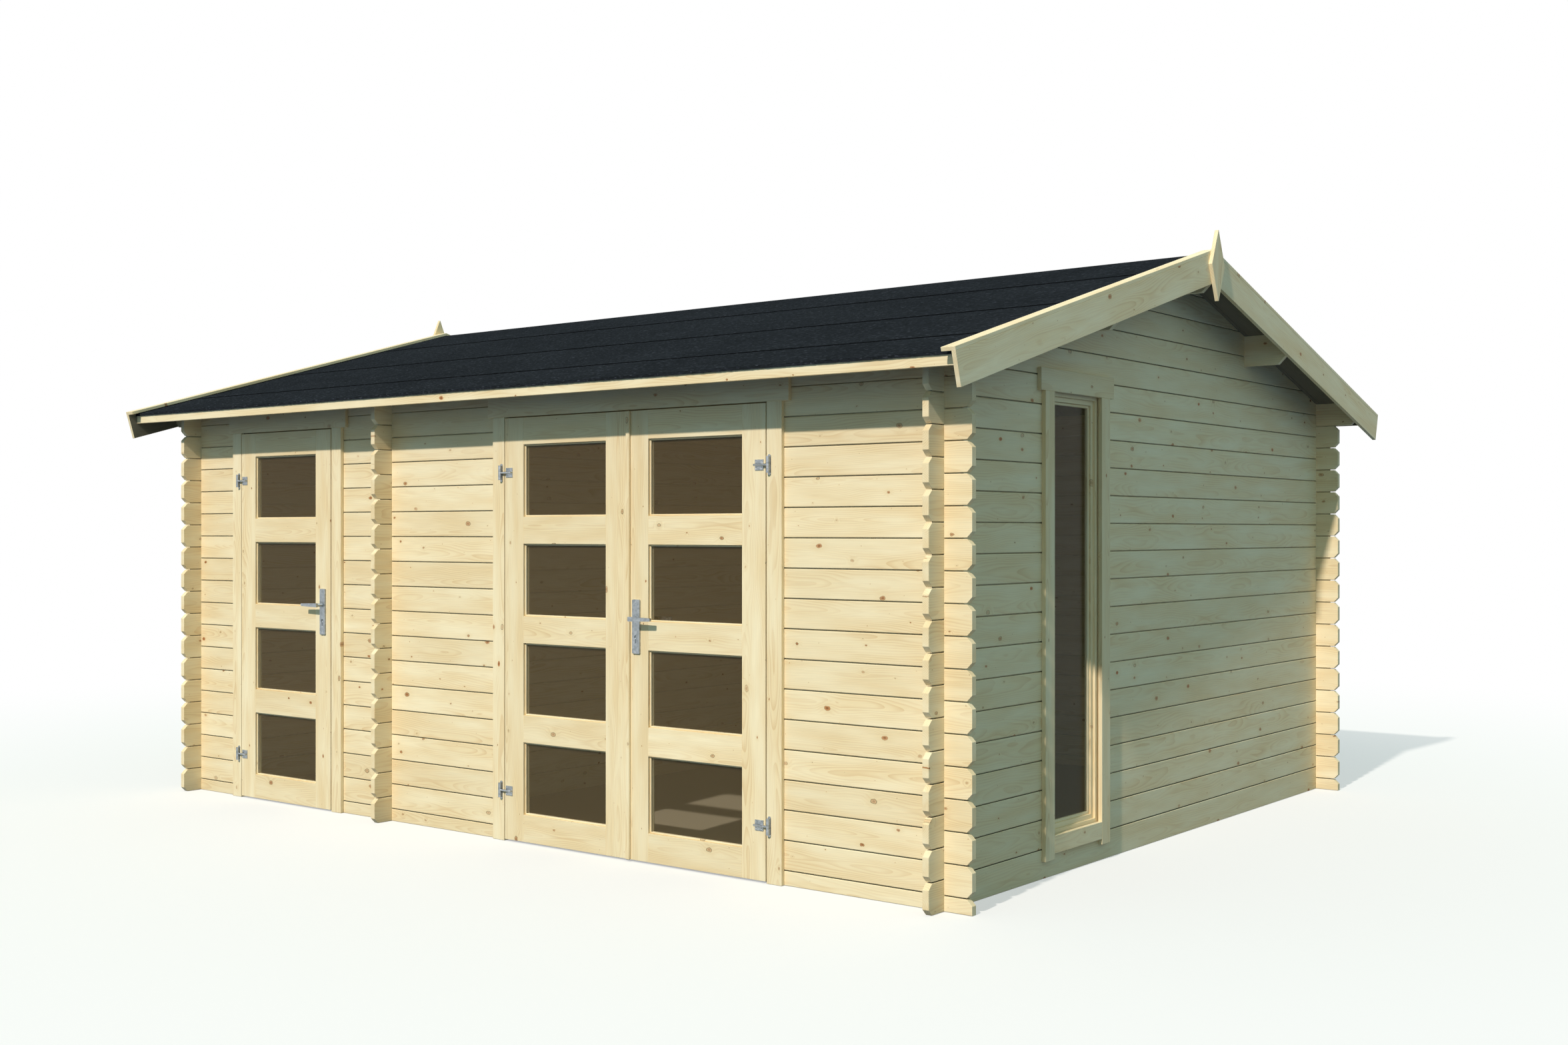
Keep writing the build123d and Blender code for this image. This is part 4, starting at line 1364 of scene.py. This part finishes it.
@dataclass
class Ironmongery:
    """Hinges, handle plates and levers with their edges eased, and the screws that hold them."""

    steel: Material
    edge: float = 0.7 * MM
    merging: float = 0.01 * MM
    flat: float = math.radians(0.5)
    sharp: float = math.radians(40)
    screw_radius: float = 3.6 * MM
    screw_head: float = 1.1 * MM
    screw_recess: float = 0.7 * MM
    screw_sides: int = 16

    # Shares of the screw's radius: the radius of its flat top, and the rim around the recess
    screw_top: float = 0.75
    screw_rim: float = 0.35

    strap_middle: float = 30.5 * MM
    strap_spread: float = 13.5 * MM
    strap_plate: float = 3 * MM
    strap_ends: float = 21.5 * MM
    plate_ends: float = 9 * MM

    def build(self) -> None:
        """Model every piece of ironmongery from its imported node, and then the screws."""
        for node, body in (
            ("door_hinge_pins", "shell"),
            ("single_door_hinge_straps", "single_door"),
            ("single_door_handle_plates", "single_door"),
            ("single_door_lever", "single_door_lever"),
            ("double_door_left_hinge_straps", "double_door_left"),
            ("double_door_right_hinge_straps", "double_door_right"),
            ("double_door_right_handle_plates", "double_door_right"),
            ("double_door_right_lever", "double_door_right_lever"),
        ):
            self.polish(node, body)
        for leaf, way in (("single_door", 1), ("double_door_left", 1), ("double_door_right", -1)):
            self.screws(leaf, self.screw_places(leaf, way))

    def screw_places(self, leaf: str, way: int) -> list[Vector]:
        """Find where four screws hold each hinge strap, and one holds each end of a handle plate.

        Args:
            leaf: The door leaf.
            way: Plus one where the leaf lies to the right of its hinges, or minus one.

        Returns:
            Middle of each head, where it meets the metal.
        """
        low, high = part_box(f"{leaf}_leaf")
        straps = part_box(f"{leaf}_hinge_straps")
        face = low.y - self.strap_plate
        middle = (low.x if way > 0 else high.x) + way * self.strap_middle
        heights = (straps[0].z + self.strap_ends, straps[1].z - self.strap_ends)
        places = [
            Vector((middle + right * self.strap_spread, face, height + up * self.strap_spread))
            for height, right, up in product(heights, (-1, 1), (-1, 1))
        ]
        if leaf != "double_door_left":
            low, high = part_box(f"{leaf}_handle_plates")
            middle = (low.x + high.x) / 2
            heights = (low.z + self.plate_ends, high.z - self.plate_ends)
            places += [Vector((middle, low.y, height)) for height in heights]
        return places

    def screws(self, leaf: str, places: list[Vector]) -> None:
        """Turn small pan head screws with a round recess, all facing the front.

        Args:
            leaf: The door leaf, whose body they ride on.
            places: Middle of each head, where it meets the metal.
        """
        metal = bmesh.new()
        for place in places:
            head = bmesh.new()
            bmesh.ops.create_cone(
                head,
                cap_ends=True,
                segments=self.screw_sides,
                radius1=self.screw_radius,
                radius2=self.screw_top * self.screw_radius,
                depth=self.screw_head,
                matrix=Matrix.Rotation(math.radians(90), 4, "X"),
            )
            front = [face for face in head.faces if face.normal.y < -MORE_ALONG_THAN_ACROSS]
            rim = self.screw_rim * self.screw_radius
            bmesh.ops.inset_region(head, faces=front, thickness=rim, depth=0.0)
            inner = list({vert for face in front for vert in face.verts})
            bmesh.ops.translate(head, verts=inner, vec=(0, self.screw_recess, 0))
            proud = place - Vector((0, self.screw_head / 2, 0))
            bmesh.ops.translate(head, verts=head.verts[:], vec=proud)
            absorb(metal, head)
        declare(put_in_scene(f"{leaf}_screws", metal, (self.steel,)), leaf, Slot.STEEL)

    def polish(self, node: str, body: str) -> None:
        """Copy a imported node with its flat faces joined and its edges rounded.

        Args:
            node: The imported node.
            body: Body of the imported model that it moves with.
        """
        metal = bmesh.new()
        metal.from_mesh(bpy.data.objects[node].data)
        bmesh.ops.remove_doubles(metal, verts=metal.verts[:], dist=self.merging)
        bmesh.ops.dissolve_limit(metal, angle_limit=self.flat, verts=metal.verts[:], edges=metal.edges[:])
        piece = put_in_scene(f"{node}_metal", metal, (self.steel,))
        piece.data.shade_smooth()
        piece.data.set_sharp_from_angle(angle=self.sharp)
        rounding = piece.modifiers.new("edges", "BEVEL")
        rounding.width = self.edge
        rounding.segments = 2
        rounding.limit_method = "ANGLE"
        rounding.angle_limit = self.sharp
        declare(piece, body, Slot.STEEL, (node,))


@dataclass
class Studio:
    """A pale floor, a soft sun from the front, even fill, and the photograph's camera."""

    picture: tuple[float, float] = (2352.0, 1568.0)
    focal_pixels: float = 2514.77
    horizon: float = 796.89
    heading: float = math.radians(37.974)
    camera_place: Vector = field(default_factory=lambda: Vector((5.746, -7.140, 1.407)))
    sensor: float = 36.0
    sun_strength: float = 3.2
    sun_colour: tuple[float, float, float] = (1.0, 0.92, 0.85)
    sun_height: float = math.radians(39)
    sun_side: float = math.radians(7.3)
    sun_softness: float = math.radians(1.5)
    fill_strength: float = 0.52
    fill_colour: str = "#C8F3F2"
    white: str = "#FFFFFF"
    floor_size: float = 400.0
    floor_under: float = 0.5 * MM
    floor_colour: str = "#F4F3F0"
    floor_bounce: str = "#1E425E"
    floor_roughness: float = 0.9
    ground_colour: str = "#A39A80"
    ground_bounce: str = "#A89878"
    ground_reach: tuple[float, float] = (2.39, 1.88)
    floor_white: float = 0.45
    floor_fades: tuple[float, float] = (3.5, 9.0)

    def build(self) -> None:
        """Set the camera, the sun, the world and the floor."""
        self.camera()
        self.sun()
        self.world()
        self.floor()
        bpy.context.scene.view_settings.view_transform = "Standard"

    def camera(self) -> None:
        """Set the camera as the photograph was taken: level, and turned to the right-hand corner."""
        width, height = self.picture
        data = bpy.data.cameras.new("camera")
        data.sensor_width = self.sensor
        data.sensor_fit = "HORIZONTAL"
        data.lens = self.focal_pixels / width * self.sensor
        data.shift_y = (self.horizon - height / 2) / width
        camera = bpy.data.objects.new("camera", data)
        camera.location = self.camera_place
        camera.rotation_euler = (math.radians(90), 0.0, self.heading)
        bpy.context.scene.collection.objects.link(camera)
        bpy.context.scene.camera = camera

    def sun(self) -> None:
        """Light the door side from the height that the photograph's shadows give."""
        data = bpy.data.lights.new("key", "SUN")
        data.energy = self.sun_strength
        data.angle = self.sun_softness
        data.color = self.sun_colour
        sun = bpy.data.objects.new("key", data)
        level = math.cos(self.sun_height)
        toward = Vector(
            (math.sin(self.sun_side) * level, -math.cos(self.sun_side) * level, math.sin(self.sun_height))
        )
        sun.rotation_euler = toward.to_track_quat("Z", "Y").to_euler()
        bpy.context.scene.collection.objects.link(sun)

    def world(self) -> None:
        """Fill the shade evenly, and show white behind the shed and in its gloss."""
        world = bpy.data.worlds.new("studio")
        bpy.context.scene.world = world
        add = adder(world)
        fill, white = (
            add("Background", {}, {"Color": colour, "Strength": strength})
            for colour, strength in ((self.fill_colour, self.fill_strength), (self.white, 1.0))
        )
        both = add("MixShader", {}, {0: self.seen(add), 1: fill, 2: white})
        add("OutputWorld", {}, {"Surface": both})

    @staticmethod
    def seen(add: Adder) -> Node:
        """Tell the rays that show the background from those that only light the shed.

        Args:
            add: Adds a node to the world or the floor.

        Returns:
            One on a ray that shows it, and nought on the others.
        """
        path = add("LightPath").outputs
        most = {"operation": "MAXIMUM"}
        first = add("Math", most, {0: path["Is Camera Ray"], 1: path["Is Glossy Ray"]})
        return add("Math", most, {0: first, 1: path["Is Transmission Ray"]})

    def outside(self, add: Adder, place: NodeSocket) -> Node:
        """Tell the floor around the shed from the ground between its walls.

        Args:
            add: Adds a node to the floor's material.
            place: Place on the floor.

        Returns:
            One around the shed, and nought inside it.
        """
        off = add("VectorMath", {"operation": "ABSOLUTE"}, {0: place})
        share = add("VectorMath", {"operation": "DIVIDE"}, {0: off, 1: (*self.ground_reach, 1.0)})
        parts = add("SeparateXYZ", {}, {0: share}).outputs
        most = add("Math", {"operation": "MAXIMUM"}, {0: parts["X"], 1: parts["Y"]})
        return add("Math", {"operation": "GREATER_THAN"}, {0: most, 1: 1.0})

    def floor(self) -> None:
        """Lay a pale floor that keeps the shed's shadow and fades to white far out."""
        plane = bmesh.new()
        bmesh.ops.create_grid(plane, x_segments=1, y_segments=1, size=self.floor_size / 2)
        material = bpy.data.materials.new("pale_floor")
        add = adder(material)
        seen = self.seen(add)
        place = add("TexCoord").outputs["Object"]
        outside = self.outside(add, place)
        lit, shown = (
            add("Mix", IN_COLOUR, {SHARE: outside, UNDER: under, OVER: around})
            for under, around in (
                (self.ground_bounce, self.floor_bounce),
                (self.ground_colour, self.floor_colour),
            )
        )
        colour = add("Mix", IN_COLOUR, {SHARE: seen, UNDER: lit, OVER: shown})
        shader = add("BsdfPrincipled", {}, {"Base Color": colour, "Roughness": self.floor_roughness})
        near, far = self.floor_fades
        fading = {
            "Value": add("VectorMath", {"operation": "LENGTH"}, {0: place}).outputs["Value"],
            "From Min": near,
            "From Max": far,
            "To Min": self.floor_white,
        }
        around = add("Math", PRODUCT, {0: add("MapRange", SOFTLY, fading), 1: outside})
        share = add("Math", PRODUCT, {0: around, 1: seen})
        white = add("Emission", {}, {"Color": self.white, "Strength": 1.0})
        both = add("MixShader", {}, {0: share, 1: shader, 2: white})
        add("OutputMaterial", {}, {"Surface": both})
        floor = put_in_scene("floor", plane, (material,))
        floor.location.z = -self.floor_under
        floor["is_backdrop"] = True


def glaze(nodes: dict[str, Object], glass: Material) -> None:
    """Give every pane its glass.

    Args:
        nodes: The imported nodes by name.
        glass: The finish of the panes.
    """
    for name, pane in nodes.items():
        if name.endswith("_glass"):
            pane.data.materials.clear()
            pane.data.materials.append(glass)
            LOG.info("%s glazed", name)


def main() -> None:
    """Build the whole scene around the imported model."""
    logging.basicConfig(level=logging.INFO, format="%(name)s: %(message)s")
    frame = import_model()
    spruce = PlanedSpruce("planed_spruce").build()
    # Sawn faces: rougher and greyer than planed spruce, and drawn far darker as painted shade. They cover
    # the roof boards under the eaves, the backs of the barges and fascias, and the level faces in the log
    # joints.
    sawn = PlanedSpruce(
        "sawn_spruce", pale="#716D5F", body="#676354", warm="#635C4B", ring="#574F3D", roughness=0.85
    ).build()
    felt = MineralFelt("mineral_roofing_felt").build()
    # The rim of every strip is near black: bare bitumen at the cut, and dark enough to draw the painted
    # shadow line under each lap
    bitumen_rim_and_lap_shadow = MineralFelt(
        "cut_bitumen_felt", grit="#0C0D0F", bitumen="#08090A", pale_grain="#121316"
    ).build()
    form = RoofForm()
    LogWalls(spruce, sawn, form).build()
    RoofCover(sawn, felt, bitumen_rim_and_lap_shadow, form).build()
    RoofEdges(spruce, sawn, form).build()
    DoorSurrounds(spruce).build()
    for name in ("single_door", "double_door_left", "double_door_right"):
        DoorLeaf(name, spruce).build()
    GableWindow(spruce).build()
    Ironmongery(GalvanisedSteel("galvanised_steel").build()).build()
    glaze(frame["nodes"], FloatGlass("clear_float_glass").build())
    Studio().build()
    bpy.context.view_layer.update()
    LOG.info("%d pieces", len(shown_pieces()))


if __name__ == "__main__":
    main()
